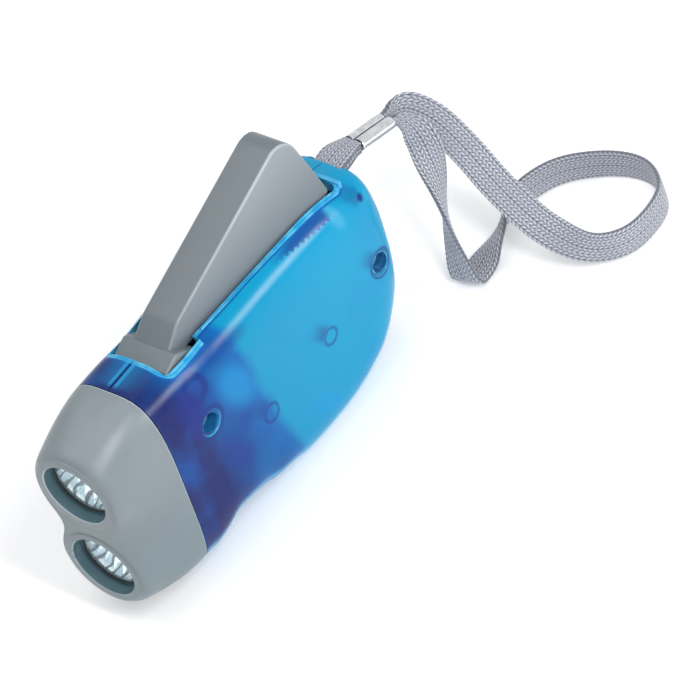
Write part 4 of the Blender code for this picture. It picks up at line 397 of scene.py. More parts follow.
def clear(name, low, high, **values):
    """Clear plastic with a faint haze in its gloss."""
    paint = Paint(name, **values)
    paint.look(Roughness=paint.clouds(400.0, 4.0, 0.6, 0.3, 0.8, low, high))
    return paint


FRONT_SCREW = Vector((-0.0140, 0, 0.0087))
TAIL_SCREW = Vector((-0.0782, 0, -0.0007))
# The shell's own blue from the tail to the head, brighter with painted light over the hollow tail and indigo
# with painted shade in front of the dynamo and the head; and the braid's colours from its low threads to its
# high ones, with painted shade where the threads dive and painted light on their raised tops.
SHELL_COLOURS = (
    (0.00, 6, 157, 203), (0.49, 0, 149, 194), (0.535, 0, 102, 176), (0.72, 0, 76, 150),
    (0.83, 20, 36, 106), (1.00, 22, 30, 98),
)
BRAID_COLOURS = ((0.00, 44, 48, 58), (0.40, 108, 113, 124), (0.75, 178, 182, 192), (1.00, 226, 229, 238))
# Painted shade where a post or a screw shows through the shell: x, z, ring radius, ring width, how dark, and
# the strength of its painted shadow.
SHELL_SHADE_RINGS = (
    (-0.0563, -0.0042, 0.0022, 0.0007, 0.55, 0.60),
    (-0.0317, -0.0058, 0.0024, 0.0007, 0.60, 0.50),
    (-0.0141, 0.0195, 0.0030, 0.0014, 0.70, 0.0),
    (-0.0140, 0.0087, 0.0042, 0.0008, 0.60, 0.0),
    (-0.0782, -0.0007, 0.0035, 0.0009, 0.75, 0.65),
    (-0.0803, 0.0190, 0.0000, 0.0015, 0.95, 0.45),
)
# The way that the painted shadows of the posts run across the wall.
SHADOW_ALONG = (0.61, 0.79)
# Soft patches of painted light and painted shade: x, z, half length, half width, turn in degrees, strength,
# colour.
PAINTED_GLOW = (128, 208, 240)
PAINTED_LIGHT_CYAN = (0, 150, 214)
PAINTED_SHADE_BLUE = (24, 44, 132)
SHELL_LIGHT_AND_SHADE = (
    (-0.0141, 0.0195, 0.0032, 0.0032, 0, 0.45, (34, 62, 152)),
    (-0.0245, 0.0110, 0.0125, 0.0068, 65, 0.62, PAINTED_LIGHT_CYAN),
    (-0.0105, 0.0150, 0.0120, 0.0060, 80, 0.85, PAINTED_SHADE_BLUE),
    (-0.0180, -0.0060, 0.0130, 0.0050, 60, 0.45, PAINTED_SHADE_BLUE),
    (-0.0290, 0.0215, 0.0075, 0.0030, 8, 0.45, PAINTED_SHADE_BLUE),
    (-0.0480, -0.0190, 0.0100, 0.0040, 40, 0.40, PAINTED_LIGHT_CYAN),
    (-0.0712, 0.0214, 0.0056, 0.0026, 75, 0.26, PAINTED_GLOW),
)


def painted_post_shade(x, z):
    """Painted shade: how dark each place is where the posts and screws show through the wall, with their
    painted shadows.
    """
    dark = None
    for back, rise, radius, width, strength, cone in SHELL_SHADE_RINGS:
        run, side = turned_place(x, z, back, rise, *SHADOW_ALONG)
        mark = abs(length_of(run, side) - radius).step(width * 0.3, width, strength, 0.0)
        # A painted shadow that runs from the ring across the wall.
        if cone:
            beam = abs(side).step(0.0008, 0.0032, cone, 0.0)
            tail = beam * run.step(0.002, 0.010, 1.0, 0.0)
            mark = mark.at_least(tail * run.step(radius * 0.5, radius + 0.001))
        dark = mark if dark is None else dark.at_least(mark)
    return dark


def slot_distance(x, y):
    """How far a place is outside the slot, whose corners are rounded."""
    foot = -FOOT_SLOT_BACK
    half = x.step(-SLOT_BACK, foot, SLOT_TAIL_HALF_WIDTH, SLOT_HALF_WIDTH, False)
    half += x.step(foot - 0.0001, foot + 0.0001, 0.0, FOOT_SLOT_HALF_WIDTH - SLOT_HALF_WIDTH, False)
    wide = abs(y) - (half - SLOT_CORNER)
    long = abs(x + (SLOT_FRONT + SLOT_BACK) / 2) - ((SLOT_BACK - SLOT_FRONT) / 2 - SLOT_CORNER)
    return length_of(long.at_least(0.0), wide.at_least(0.0)) - SLOT_CORNER


def shell_blue():
    """Clear blue plastic, with painted light that makes it bright over the hollow tail and painted shade that
    makes it indigo in front of the dynamo and the head.
    """
    paint = Paint("shell_blue", IOR=1.45, Specular_IOR_Level=0.18, Transmission_Weight=0.16)
    x, y, z = paint.axes()
    warp = (paint.noise(75.0, 3.0, 0.5) - 0.5) * 0.008
    place = x + (0.0250 - z) * 0.16 + warp
    # Painted light over the hollow tail and painted shade towards the dynamo and the head, on the shell's own
    # blue.
    paint.base = paint.ramp(place.step(-0.06355, 0.00445, smooth=False), SHELL_COLOURS)
    cloud = paint.clouds(60.0, 3.0, 0.5, 0.40, 0.66)
    paint.tint(cloud * place.step(-0.02955, -0.02155), (2, 70, 150))
    # Soft clouds of painted glow in the clear plastic.
    paint.tint(paint.clouds(48.0, 2.0, 0.5, 0.45, 0.70, 0.0, 0.26), (0, 132, 192))
    # Painted light and painted shade in soft patches.
    for back, rise, long, wide, turn, strength, tint in SHELL_LIGHT_AND_SHADE:
        angle = math.radians(turn)
        run, side = turned_place(x, z, back, rise, math.cos(angle), math.sin(angle))
        paint.tint(length_of(run / long, side / wide).step(0.25, 1.0, strength, 0.0), tint)
    # Painted shade of the posts and screws behind the wall, with their painted shadows.
    paint.tint(painted_post_shade(x, z), (16, 44, 126))
    # Painted shade: the teeth of the sector behind the wall show as a dark wedge under the slot's lip.
    tooth = paint.math("PINGPONG", x + ORIGIN.x, 0.0009) * 0.9
    edge = (x + 0.069) * 0.145 + 0.0212
    wedge = (z - (edge + tooth)).step(0.0, 0.0003) * x.step(-0.0715, -0.0690)
    wedge *= x.step(-0.058, -0.048, 0.85, 0.0)
    paint.tint(wedge * z.step(0.0246, 0.0256, 1.0, 0.0), (22, 66, 150))
    # The rolled lip round the slot: a pale band of painted light between two thin lines of painted shade.
    out = slot_distance(x, y)
    top = z.step(0.0205, 0.0215)
    pale = paint.blend(paint.clouds(300.0, 2.0, 0.5, 0.35, 0.65), (52, 174, 226), (108, 208, 240))
    paint.tint(out.step(0.00105, 0.00125, 0.85, 0.0) * top, pale)
    line = abs(out - 0.0014).step(0.00012, 0.0003, 0.85, 0.0)
    inner = abs(out - 0.0006).step(0.00005, 0.00018, 0.45, 0.0)
    paint.tint(line.at_least(inner) * top, (12, 92, 176))
    # Painted light: bright bars beside the parting line on the collar.
    off = abs(y)
    bars = off.step(0.0010, 0.0020, 1.0, 0.0).at_least(off.step(0.0015, 0.0070, 0.28, 0.0))
    bars *= off.step(0.0003, 0.0006) * x.step(-0.0108, -0.0095) * x.step(-0.0025, -0.0008, 0.75, 0.0)
    paint.tint(bars * z.step(0.0094, 0.0154), (40, 160, 220))
    # Painted light in the wells of the two screws, with painted glints.
    for spot, bright in ((FRONT_SCREW, (60, 170, 222)), (TAIL_SCREW, (214, 238, 250))):
        well = length_of(x - spot.x, z - spot.z).step(0.00262, 0.00275, 0.85, 0.0)
        glint = paint.clouds(620.0, 1.0, 0.4, 0.40, 0.62)
        paint.tint(well * y.step(0.0020, 0.0030), paint.blend(glint, (8, 84, 168), bright))
    # Painted light gathers where the clear form turns over at its edges and thins to a painted dark line at
    # the middle, with painted shade where the form faces away from its flat side.
    flat = abs(paint.split(paint.value("ShaderNodeTexCoord", "Normal"))[1])
    below = z.step(0.0194, 0.0054)
    paint.tint(flat.step(0.97, 0.88, 0.0, 0.65) * below, (70, 184, 224))
    paint.tint(abs(flat - 0.72).step(0.08, 0.14, 0.65, 0.0) * below, (10, 92, 172))
    paint.tint(flat.step(0.22, 0.08, 0.0, 0.7) * below, (6, 70, 140))
    gloss = paint.clouds(300.0, 5.0, 0.6, 0.2, 0.8, 0.190, 0.225)
    paint.look(Roughness=gloss + x.step(-0.016, 0.0, 0.0, 0.04))
    paint.bump(paint.noise(420.0, 2.0, 0.5), 0.08, 0.00002)
    return paint


def lip_blue():
    """The pale rolled edge of the slot in the clear shell, with a faint painted glow for the light that the
    clear plastic carries.
    """
    paint = Paint(
        "lip_blue", IOR=1.45, Transmission_Weight=0.15, Specular_IOR_Level=0.45,
        Emission_Color=(60, 170, 220), Emission_Strength=0.10)
    paint.base = (70, 178, 222)
    paint.tint(paint.clouds(260.0, 4.0, 0.6, 0.35, 0.7), (30, 140, 206))
    paint.look(Roughness=paint.clouds(500.0, 4.0, 0.6, 0.2, 0.8, 0.16, 0.24))
    return paint


def grey_with_painted_light(name, colour, pale, painted_shade, shade, rim=None):
    """Satin grey plastic, with painted highlights on its rounded edges and painted shade on the faces marked
    for it and low down.
    """
    paint = moulded(name, colour, 0.42, shade=0.95, Coat_Weight=0.22, Coat_Roughness=0.3)
    x, y, z = paint.axes()
    # Painted shade and painted highlights on the faces marked for them.
    paint.tint(paint.mark("painted_shade"), painted_shade)
    paint.tint(paint.mark("edge"), pale)
    # A painted highlight along the rim, where one is given.
    if rim:
        paint.tint(x.step(rim, rim + 0.00025, 0.9, 0.0), pale)
    # Painted shade that deepens low down.
    low, high, strength = shade
    paint.tint(z.step(low, high, strength, 0.0), painted_shade)
    return paint


def braid():
    """Woven cord: painted light makes its raised threads pale and painted shade makes them darker where they
    dive, with a fine fibre in each.
    """
    paint = Paint("strap_braid_woven", Sheen_Weight=0.35, Sheen_Roughness=0.5, IOR=1.45, Roughness=0.82)
    weave = paint.value("ShaderNodeUVMap", uv_map="weave")
    fibre = paint.noise(60.0, 3.0, 0.6, weave, (1.0, 0.2, 1.0))
    # Painted light and painted shade along the threads' height.
    paint.base = paint.ramp(paint.mark("relief"), BRAID_COLOURS)
    paint.tint(fibre.step(0.35, 0.7, 0.0, 0.35), (128, 131, 142))
    paint.tint(paint.clouds(140.0, 3.0, 0.5, 0.3, 0.7, 0.0, 0.25), (136, 138, 150))
    paint.bump(fibre, 0.5, 0.00004)
    return paint


def mirror_bowl():
    """Plated mirrors with painted reflections, pale petals on grey, and a painted bluish glow for the lamp's
    light, stronger towards the bottom of the bowl.
    """
    paint = Paint("chrome_faceted", Metallic=1.0, Emission_Color=(216, 242, 252))
    paint.look(Roughness=paint.clouds(900.0, 3.0, 0.5, 0.3, 0.7, 0.05, 0.12))
    x, y, z = paint.axes()
    # Painted reflections: pale petals that turn and bend across the facets.
    level = abs(z) - LENS_SPACING / 2
    turn = paint.math("ARCTAN2", y, level) * (9 / math.pi)
    bend = length_of(y, level) * 140.0 + paint.noise(260.0, 1.0, 0.4) * 1.6
    reflection_petal = paint.math("PINGPONG", turn + bend, 0.5).step(0.06, 0.26)
    paint.base = (92, 98, 102)
    paint.tint(reflection_petal, (250, 251, 252))
    # A painted glow, stronger towards the bottom of the bowl and on the petals.
    glow = x.step(0.0090, 0.0165, 0.80, 0.26)
    paint.look(Emission_Strength=glow * reflection_petal.step(0.0, 1.0, 0.15, 1.0))
    return paint


PAINTS = {
    "shell": shell_blue(),
    "lip": lip_blue(),
    "grey": moulded("satin_grey", (142, 151, 157), 0.42, 0.94, Coat_Weight=0.12, Coat_Roughness=0.3),
    # The lever and the head: their colour, painted highlight, painted shade, the heights and strength of the
    # painted shade low down, and for the head the place of a painted highlight along its rear edge.
    "lever": grey_with_painted_light(
        "lever_grey", (136, 145, 152), (180, 188, 194), (94, 104, 111), (0.0234, 0.0474, 0.85)),
    "head": grey_with_painted_light(
        "head_grey", (120, 131, 137), (172, 181, 187), (78, 106, 115), (-0.0266, 0.0214, 0.40), 0.0002),
    "bright": mirror_bowl(),
    "nylon": moulded(
        "nylon_white", (222, 224, 218), 0.45, Subsurface_Weight=0.1, Subsurface_Radius=(0.002, 0.002, 0.002)),
    "steel": metal("steel_turned", (190, 192, 196), 0.28, (1.0, 8.0, 1.0)),
    # The screws' blue tint and faint glow are painted light, for the light that reaches them through the
    # clear shell.
    "screw": moulded(
        "steel_screw", (120, 190, 220), 0.25, 0.6, Metallic=0.6, Emission_Color=(70, 170, 214),
        Emission_Strength=0.12),
    "chrome": metal("chrome_plated", (236, 240, 244), 0.07),
    "rubber": moulded("rubber_black", (28, 29, 31), 0.6),
    "lens": clear("lens_clear", 0.03, 0.07, IOR=1.49, Base_Color=(226, 240, 246), Alpha=0.16),
    "led": clear(
        "led_clear", 0.04, 0.09, IOR=1.53, Base_Color=(214, 236, 250), Transmission_Weight=1.0,
        Emission_Color=(206, 236, 255), Emission_Strength=0.9),
    "board": moulded("board_green", (34, 92, 58), 0.4, 0.8),
    "copper": metal("copper_wound", (200, 122, 66), 0.3, (1.0, 30.0, 1.0)),
    "magnet": moulded("magnet_dark", (58, 58, 62), 0.5),
    "braid": braid(),
}
NODE_FINISHES = {
    "grey": ("head_bezel", "lever", "drive_sector", "switch_slider"),
    "shell": ("housing_left", "housing_right"),
    "nylon": ("flywheel", "main_gear", "drive_pinion", "step_up_gear", "rotor_pinion"),
    "steel": (
        "hinge_pin", "main_axle", "step_up_axle", "rotor_shaft", "strap_pin", "clutch_pawl", "return_spring",
        "stator_claw_inner", "stator_claw_outer", "housing_screw_front", "housing_screw_tail",
        "cell_contact_inner", "cell_contact_outer", "switch_body",
    ),
    "chrome": ("cell_1", "cell_2", "reflector_upper", "reflector_lower", "strap_ferrule"),
    "rubber": (
        "lens_ring_upper", "lens_ring_lower", "coil_bobbin", "diode_1", "diode_2", "diode_3", "diode_4"),
    "lens": ("lens_upper", "lens_lower"),
    "led": ("led_upper", "led_lower"),
    "board": ("circuit_board", "led_board"),
    "copper": ("coil_winding",),
    "magnet": ("magnet_ring", "smoothing_capacitor"),
    "braid": ("strap_neck", "strap_loop"),
}
for finish, names in NODE_FINISHES.items():
    for node_name in names:
        for material_slot in nodes[node_name].material_slots:
            material_slot.material = PAINTS[finish].material


# ---------------------------------------------------------------- helpers: shapes

MERGE = 0.000001


def grid_mesh(columns, rows, place, closed=True):
    """A sheet of columns by rows faces whose points come from place(share, share)."""
    bm = bmesh.new()
    bmesh.ops.create_grid(bm, x_segments=columns, y_segments=rows, size=0.5)
    for vert in bm.verts:
        vert.co = place(vert.co.x + 0.5, vert.co.y + 0.5)
    if closed:
        bmesh.ops.remove_doubles(bm, verts=bm.verts, dist=MERGE)
    return bm


def outward(bm):
    """Turn the faces outwards."""
    bmesh.ops.recalc_face_normals(bm, faces=bm.faces)
    return bm


def capped(bm, split=True):
    """Close the sheet's open ends, and turn its faces outwards."""
    bmesh.ops.holes_fill(bm, edges=[edge for edge in bm.edges if edge.is_boundary], sides=0)
    if split:
        bmesh.ops.triangulate(bm, faces=bm.faces)
    return outward(bm)


def added(name, data):
    item = bpy.data.objects.new(name, data)
    scene.collection.objects.link(item)
    return item


def smoothed(mesh, degrees=35.0):
    mesh.shade_smooth()
    mesh.set_sharp_from_angle(angle=math.radians(degrees))
    return mesh


def mesh_of(bm, name, degrees=35.0):
    """The shape as a mesh, moved to the row frame."""
    bmesh.ops.translate(bm, verts=bm.verts, vec=ORIGIN)
    mesh = bpy.data.meshes.new(name)
    bm.to_mesh(mesh)
    bm.free()
    return smoothed(mesh, degrees)


def piece(name, bm, finish, slot, *replaced, body="housing", degrees=35.0):
    """A shape as a piece that rides on a body and stands for the nodes that it replaces."""
    item = added(name, mesh_of(bm, name, degrees))
    item.data.materials.append(PAINTS[finish].material)
    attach(item, body)
    if replaced:
        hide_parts(*replaced)
    return item


def tool(name, bm):
    """A shape that only cuts; it is removed once it has cut."""
    return added(name, mesh_of(bm, name))


def cut(item, tools, operation="DIFFERENCE"):
    """Cut the shapes out of the item, and keep the result as its mesh."""
    for other in tools:
        step = item.modifiers.new(other.name, "BOOLEAN")
        step.object = other
        step.operation = operation
        step.solver = "EXACT"
    bpy.context.view_layer.update()
    graph = bpy.context.evaluated_depsgraph_get()
    mesh = bpy.data.meshes.new_from_object(item.evaluated_get(graph))
    item.modifiers.clear()
    item.data = smoothed(mesh)
    for other in tools:
        bpy.data.objects.remove(other)


def rod(radius, low, high, spot=(0, 0, 0), end_radius=None, segments=64, along="Y"):
    """A cylinder or cone along an axis, as a bmesh."""
    bm = bmesh.new()
    turn = Matrix.Rotation(-math.pi / 2, 4, "X") if along == "Y" else Matrix.Rotation(math.pi / 2, 4, "Y")
    middle = (low + high) / 2
    shift = Vector((0, middle, 0) if along == "Y" else (middle, 0, 0)) + Vector(spot)
    bmesh.ops.create_cone(
        bm, cap_ends=True, segments=segments, depth=high - low, radius1=radius,
        radius2=radius if end_radius is None else end_radius, matrix=Matrix.Translation(shift) @ turn)
    return bm


def block(low, high):
    bm = bmesh.new()
    low, high = Vector(low), Vector(high)
    matrix = Matrix.Translation((low + high) / 2) @ Matrix.Diagonal((*(high - low), 1.0))
    bmesh.ops.create_cube(bm, size=1.0, matrix=matrix)
    return bm


def plate(outline, low, high, along="Y"):
    """An outline drawn as a flat face, then extruded along an axis."""
    bm = bmesh.new()
    points = [(x, low, z) if along == "Y" else (x, z, low) for x, z in outline]
    face = bm.faces.new([bm.verts.new(point) for point in points])
    grown = bmesh.ops.extrude_face_region(bm, geom=[face])
    top = [item for item in grown["geom"] if isinstance(item, bmesh.types.BMVert)]
    bmesh.ops.translate(bm, verts=top, vec=(0, high - low, 0) if along == "Y" else (0, 0, high - low))
    return outward(bm)


def bevelled(bm, width, edges=None, segments=4):
    """Round the edges of a shape, or the ones given."""
    if edges is None:
        edges = [e for e in bm.edges if e.is_manifold and e.calc_face_angle() > math.radians(30.0)]
    bmesh.ops.bevel(
        bm, geom=edges, affect="EDGES", offset=width, offset_type="OFFSET", segments=segments, profile=0.5,
        material=-1, clamp_overlap=True)
    return bm


def turned(profile, segments):
    """A closed form spun round X from (radius, x) points."""
    bm = bmesh.new()
    points = [bm.verts.new((x, radius, 0)) for radius, x in profile]
    ring = list(zip(points, points[1:] + points[:1]))
    lines = [bm.edges.new(pair) for pair in ring if pair[0].co.y > 0 or pair[1].co.y > 0]
    bmesh.ops.spin(
        bm, geom=points + lines, cent=(0, 0, 0), axis=(1, 0, 0), dvec=(0, 0, 0), angle=2 * math.pi,
        steps=segments, use_merge=True)
    bmesh.ops.remove_doubles(bm, verts=bm.verts, dist=MERGE)
    return outward(bm)


def moved(bm, spot):
    bmesh.ops.translate(bm, verts=bm.verts, vec=Vector(spot))
    return bm


def spun(bm, angle, axis):
    bmesh.ops.rotate(bm, verts=bm.verts, cent=(0, 0, 0), matrix=Matrix.Rotation(angle, 3, axis))
    return bm


# ---------------------------------------------------------------- camera, floor and light

# Each light's name, direction, distance, width, height and power.
LIGHTS = (
    ("key", (-0.45, 0.84, 0.30), 0.60, 0.14, 0.14, 1.05),
    ("kicker", (0.14, 0.62, 0.77), 0.60, 0.10, 0.30, 1.65),
    ("fill", (0.9, 0.5, 0.5), 0.8, 0.6, 0.6, 0.5),
    ("top", (0.1, -0.3, 1.0), 0.8, 0.8, 0.8, 2.9),
)


def make_camera():
    back = VIEW_BACK.normalized()
    right = (VIEW_RIGHT - back * VIEW_RIGHT.dot(back)).normalized()
    data = bpy.data.cameras.new("camera")
    data.sensor_width = SENSOR_WIDTH
    data.lens = VIEW_PIXELS_PER_METRE * VIEW_DISTANCE / VIEW_PIXELS * SENSOR_WIDTH
    data.clip_start = 0.01
    data.clip_end = 20.0
    camera = added("camera", data)
    turn = Matrix((right, back.cross(right), back)).transposed().to_4x4()
    camera.matrix_world = Matrix.Translation(VIEW_CENTRE + back * VIEW_DISTANCE) @ turn
    scene.camera = camera


def make_lights():
    for name, direction, distance, width, height, power in LIGHTS:
        data = bpy.data.lights.new(name, "AREA")
        data.energy = power
        data.shape = "RECTANGLE"
        data.size = width
        data.size_y = height
        light = added(name, data)
        aim = Vector(direction).normalized()
        light.location = VIEW_CENTRE + aim * distance
        light.rotation_mode = "QUATERNION"
        light.rotation_quaternion = aim.to_track_quat("Z", "Y")


def make_studio():
    """A white room, brighter in reflections than as light, with a white floor."""
    world = bpy.data.worlds.new("studio")
    world.use_nodes = True
    tree = world.node_tree
    background = tree.nodes["Background"].inputs
    background["Color"].default_value = (1.0, 1.0, 1.0, 1.0)
    ray = tree.nodes.new("ShaderNodeLightPath")
    strength = tree.nodes.new("ShaderNodeMapRange")
    strength.inputs["To Min"].default_value = 0.42
    strength.inputs["To Max"].default_value = 0.80
    tree.links.new(ray.outputs["Is Glossy Ray"], strength.inputs["Value"])
    tree.links.new(strength.outputs[0], background["Strength"])
    scene.world = world
    scene.view_settings.view_transform = "Standard"
    bm = bmesh.new()
    bmesh.ops.create_grid(bm, x_segments=1, y_segments=1, size=3.0)
    mesh = bpy.data.meshes.new("floor")
    bm.to_mesh(mesh)
    bm.free()
    paint = Paint("floor_white", Roughness=0.7, Emission_Color=(1.0, 1.0, 1.0, 1.0), Emission_Strength=0.22)
    paint.base = (0.90, 0.90, 0.90, 1.0)
    paint.tint(paint.clouds(3.0, 2.0, 0.5, 0.3, 0.7), (0.93, 0.93, 0.93, 1.0))
    mesh.materials.append(paint.material)
    added("floor", mesh)


make_camera()
make_studio()
make_lights()


# ---------------------------------------------------------------- strap

WEAVE_COLUMNS = 10
WEAVE_PITCH = 0.00122
WEAVE_RELIEF = 0.00016
WEAVE_STEP = 0.00026
WEAVE_AROUND = 88
WEAVE_LEAN = 0.9
WEAVE_REPEAT = 0.0085
STRAP_SQUARENESS = 5.0


def weave_height(wide, thick, run):
    """Height of the braid, 0 to 1: slanted grains in columns that lean to the left and right by turns."""
    column = (wide + 1) / 2 * 0.999 * WEAVE_COLUMNS
    index = math.floor(column)
    local = column - index - 0.5
    start = run + (0.0004 if thick < 0 else 0)
    lean = WEAVE_LEAN if index % 2 else -WEAVE_LEAN
    phase = start / WEAVE_PITCH + lean * local + (0.5 if (index // 2) % 2 else 0.0)
    grain = abs(math.sin(math.pi * phase)) ** 0.6
    body = max(math.cos(math.pi * local), 0.0) ** 0.45
    return grain * body


def strap_section(around):
    """A point of the strap's flat section, its half width and half thickness taken as 1."""
    upper = around < 0.5
    share = 1 - 4 * around if upper else 4 * around - 3
    wide = 0.6 * share + 0.4 * math.sin(math.pi / 2 * share)
    thick = max(1 - abs(wide) ** STRAP_SQUARENESS, 0.0) ** (1 / STRAP_SQUARENESS)
    return wide, thick if upper else -thick


def strap_frames(route, facing, pinch):
    """At each station: the centre, the directions across and out, the half sizes and the run so far."""
    places = [Vector(row) for row in smooth_open(route, 12)]
    sides = [Vector(row) for row in smooth_open(facing, 12)]
    runs = [0.0]
    for first, second in zip(places, places[1:]):
        runs.append(runs[-1] + (second - first).length)
    length = runs[-1]
    stations = int(length / WEAVE_STEP)
    frames = []
    index = 0
    for station in range(stations + 1):
        run = length * station / stations
        while index < len(runs) - 2 and runs[index + 1] < run:
            index += 1
        share = (run - runs[index]) / (runs[index + 1] - runs[index])
        before = places[max(index - 1, 0)].lerp(places[index], share)
        after = places[index + 1].lerp(places[min(index + 2, len(places) - 1)], share)
        ahead = (after - before).normalized()
        flat = sides[index].lerp(sides[index + 1], share)
        flat = (flat - ahead * flat.dot(ahead)).normalized()
        free = ease(min(run, length - run) / pinch[0])
        half_width = STRAP_WIDTH / 2 * (pinch[1] + (1 - pinch[1]) * free)
        half_thick = STRAP_THICKNESS / 2 * (pinch[2] + (1 - pinch[2]) * free)
        centre = places[index].lerp(places[index + 1], share)
        frames.append((centre, ahead.cross(flat), flat, half_width, half_thick, run))
    return frames


def strap_form(frames):
    """The flat braid along its route, with its threads raised on both flat sides."""
    stations = len(frames) - 1

    def place(around, along):
        centre, across, flat, half_width, half_thick, run = frames[min(round(along * stations), stations)]
        wide, thick = strap_section(around)
        sink = WEAVE_RELIEF * (1 - weave_height(wide, thick, run))
        return centre + across * (wide * (half_width - sink)) + flat * (thick * (half_thick - sink))

    bm = grid_mesh(WEAVE_AROUND, stations, place, closed=False)
    relief = bm.verts.layers.float.new("relief")
    weave = bm.loops.layers.uv.new("weave")
    for vert in bm.verts:
        station, column = divmod(vert.index, WEAVE_AROUND + 1)
        around = column / WEAVE_AROUND
        run = frames[min(station, stations)][5]
        vert[relief] = weave_height(*strap_section(around), run)
        for loop in vert.link_loops:
            loop[weave].uv = (around * 2, run / WEAVE_REPEAT)
    bmesh.ops.remove_doubles(bm, verts=bm.verts, dist=MERGE)
    return capped(bm, split=False)


def neck_facing():
    """Directions square to the neck's route, in the middle plane."""
    facing = []
    for index in range(len(NECK_ROUTE)):
        after = Vector(NECK_ROUTE[min(index + 1, len(NECK_ROUTE) - 1)])
        before = Vector(NECK_ROUTE[max(index - 1, 0)])
        ahead = (after - before).normalized()
        facing.append((-ahead.z, 0.0, ahead.x))
    return facing


def make_strap():
    form = strap_form(strap_frames(NECK_ROUTE, neck_facing(), NECK_PINCH))
    neck = piece("strap_neck_braid", form, "braid", "strap_braid", "strap_neck", degrees=75)
    form = strap_form(strap_frames(LOOP_ROUTE, LOOP_FACING, LOOP_PINCH))
    loop = piece("strap_loop_braid", form, "braid", "strap_braid", "strap_loop", degrees=75)
    path = [Vector(row) + ORIGIN for row in smooth_open(LOOP_ROUTE, 6)]


make_strap()


# ---------------------------------------------------------------- housing

SCREW_LIFT = 0.0026
SHELL_COLUMNS = 264
SHELL_ROWS = 22
TRIM = 0.0010
REACH = BODY_HALF_WIDTH + TRIM
TALL = BODY_RISE + TRIM
POCKET_FLOOR = -BODY_HALF_WIDTH + 0.0011
SIDES = ((1, "left"), (-1, "right"))
HINGE = Vector((-0.0138, 0, 0.0193))
MAIN_AXLE = Vector((-0.05514, 0, -0.00409))
STEP_AXLE = Vector((-0.03055, 0, -0.00469))
ROTOR_AXLE = Vector((-0.01695, 0, -0.01103))
STRAP_PIN = Vector((-0.0794, 0, 0.0170))
SWITCH_CENTRE = Vector((-0.0340, 0, 0.0050))
# Posts that grow inwards from the wall: radius, where each starts on the near and far side, its end.
POSTS = (
    (0.0026, 0.0059, 0.0021, REACH, MAIN_AXLE),
    (0.0026, 0.0067, 0.0092, REACH, STEP_AXLE),
    (0.0026, 0.0085, 0.0085, REACH, HINGE),
    (0.0026, 0.00015, 0.00015, REACH, FRONT_SCREW),
    (0.0026, 0.00015, 0.00015, REACH, TAIL_SCREW),
    (0.0024, 0.0066, 0.0066, REACH, STRAP_PIN),
    (0.0026, 0.0070, 0.0100, REACH, ROTOR_AXLE),
)
# Bores for the axles and pins, in the same way.
BORES = (
    (0.0015, 0.0049, 0.0011, 0.0115, MAIN_AXLE),
    (0.0015, 0.0057, 0.0082, 0.0115, STEP_AXLE),
    (0.0016, 0.0072, 0.0072, 0.0115, HINGE),
    (0.0013, 0.0056, 0.0056, 0.0095, STRAP_PIN),
    (0.0011, 0.0064, 0.0092, 0.0120, ROTOR_AXLE),
)


def body_rows():
    rows = []
    for back, rise, flat_back, flat_rise, power in BODY_ROW_SHARES:
        height = rise * (BODY_RISE if rise > 0 else BELLY_DEPTH)
        flat_height = flat_rise * (BODY_RISE if flat_rise > 0 else BELLY_DEPTH)
        rows.append((-back * BODY_LENGTH, height, -flat_back * BODY_LENGTH, flat_height, power))
    return rows


def shell_sheet(side, inset=0.0):
    """One half as a closed form; an inset draws it in, and lets it reach past the middle plane."""
    rows = body_rows()

    def place(around, inward):
        x, z, flat_x, flat_z, power = row_at(rows, around, closed=True)
        turn = math.pi / 2 * inward
        share = 1 - max(math.cos(turn), 0) ** (2 / power)
        depth = (BODY_HALF_WIDTH - inset) * math.sin(turn) ** (2 / power)
        start = Vector((x, z))
        middle = Vector((flat_x, flat_z))
        start += (middle - start).normalized() * inset
        spot = start.lerp(middle, share)
        if inward == 1:
            spot = Vector((round(spot.x, 3), round(spot.y, 3)))
        past = TRIM if inset and inward == 0 else 0.0
        return (spot.x, side * (depth - past), max(spot.y, inset - BELLY_DEPTH))

    return capped(grid_mesh(SHELL_COLUMNS, SHELL_ROWS, place))


def slot_outline():
    """The opening for the lever, wider at its foot, seen from above."""
    half = [
        (-SLOT_FRONT, FOOT_SLOT_HALF_WIDTH), (-FOOT_SLOT_BACK, FOOT_SLOT_HALF_WIDTH),
        (-FOOT_SLOT_BACK, SLOT_HALF_WIDTH), (-SLOT_BACK, SLOT_TAIL_HALF_WIDTH),
    ]
    other = [(x, -wide) for x, wide in reversed(half)]
    radii = [SLOT_CORNER, 0, 0, SLOT_CORNER]
    return filleted(other[-1:] + half + other[:-1], radii[:1] + radii + radii[:3])


def span(side, near, far):
    return (near, far) if side > 0 else (-far, -near)


def side_rods(name, side, rows):
    """Rods across one half, from rows of posts or bores."""
    rods = []
    for radius, near, far, end, spot in rows:
        low, high = span(side, near if side > 0 else far, end)
        rods.append(tool(name, rod(radius, low, high, spot, segments=40)))
    return rods


def switch_block(half_length, half_height, depth):
    """A block at the switch that reaches in from outside the far wall."""
    half = Vector((half_length, 0, half_height))
    return block(SWITCH_CENTRE - half + Vector((0, -REACH, 0)), SWITCH_CENTRE + half + Vector((0, depth, 0)))


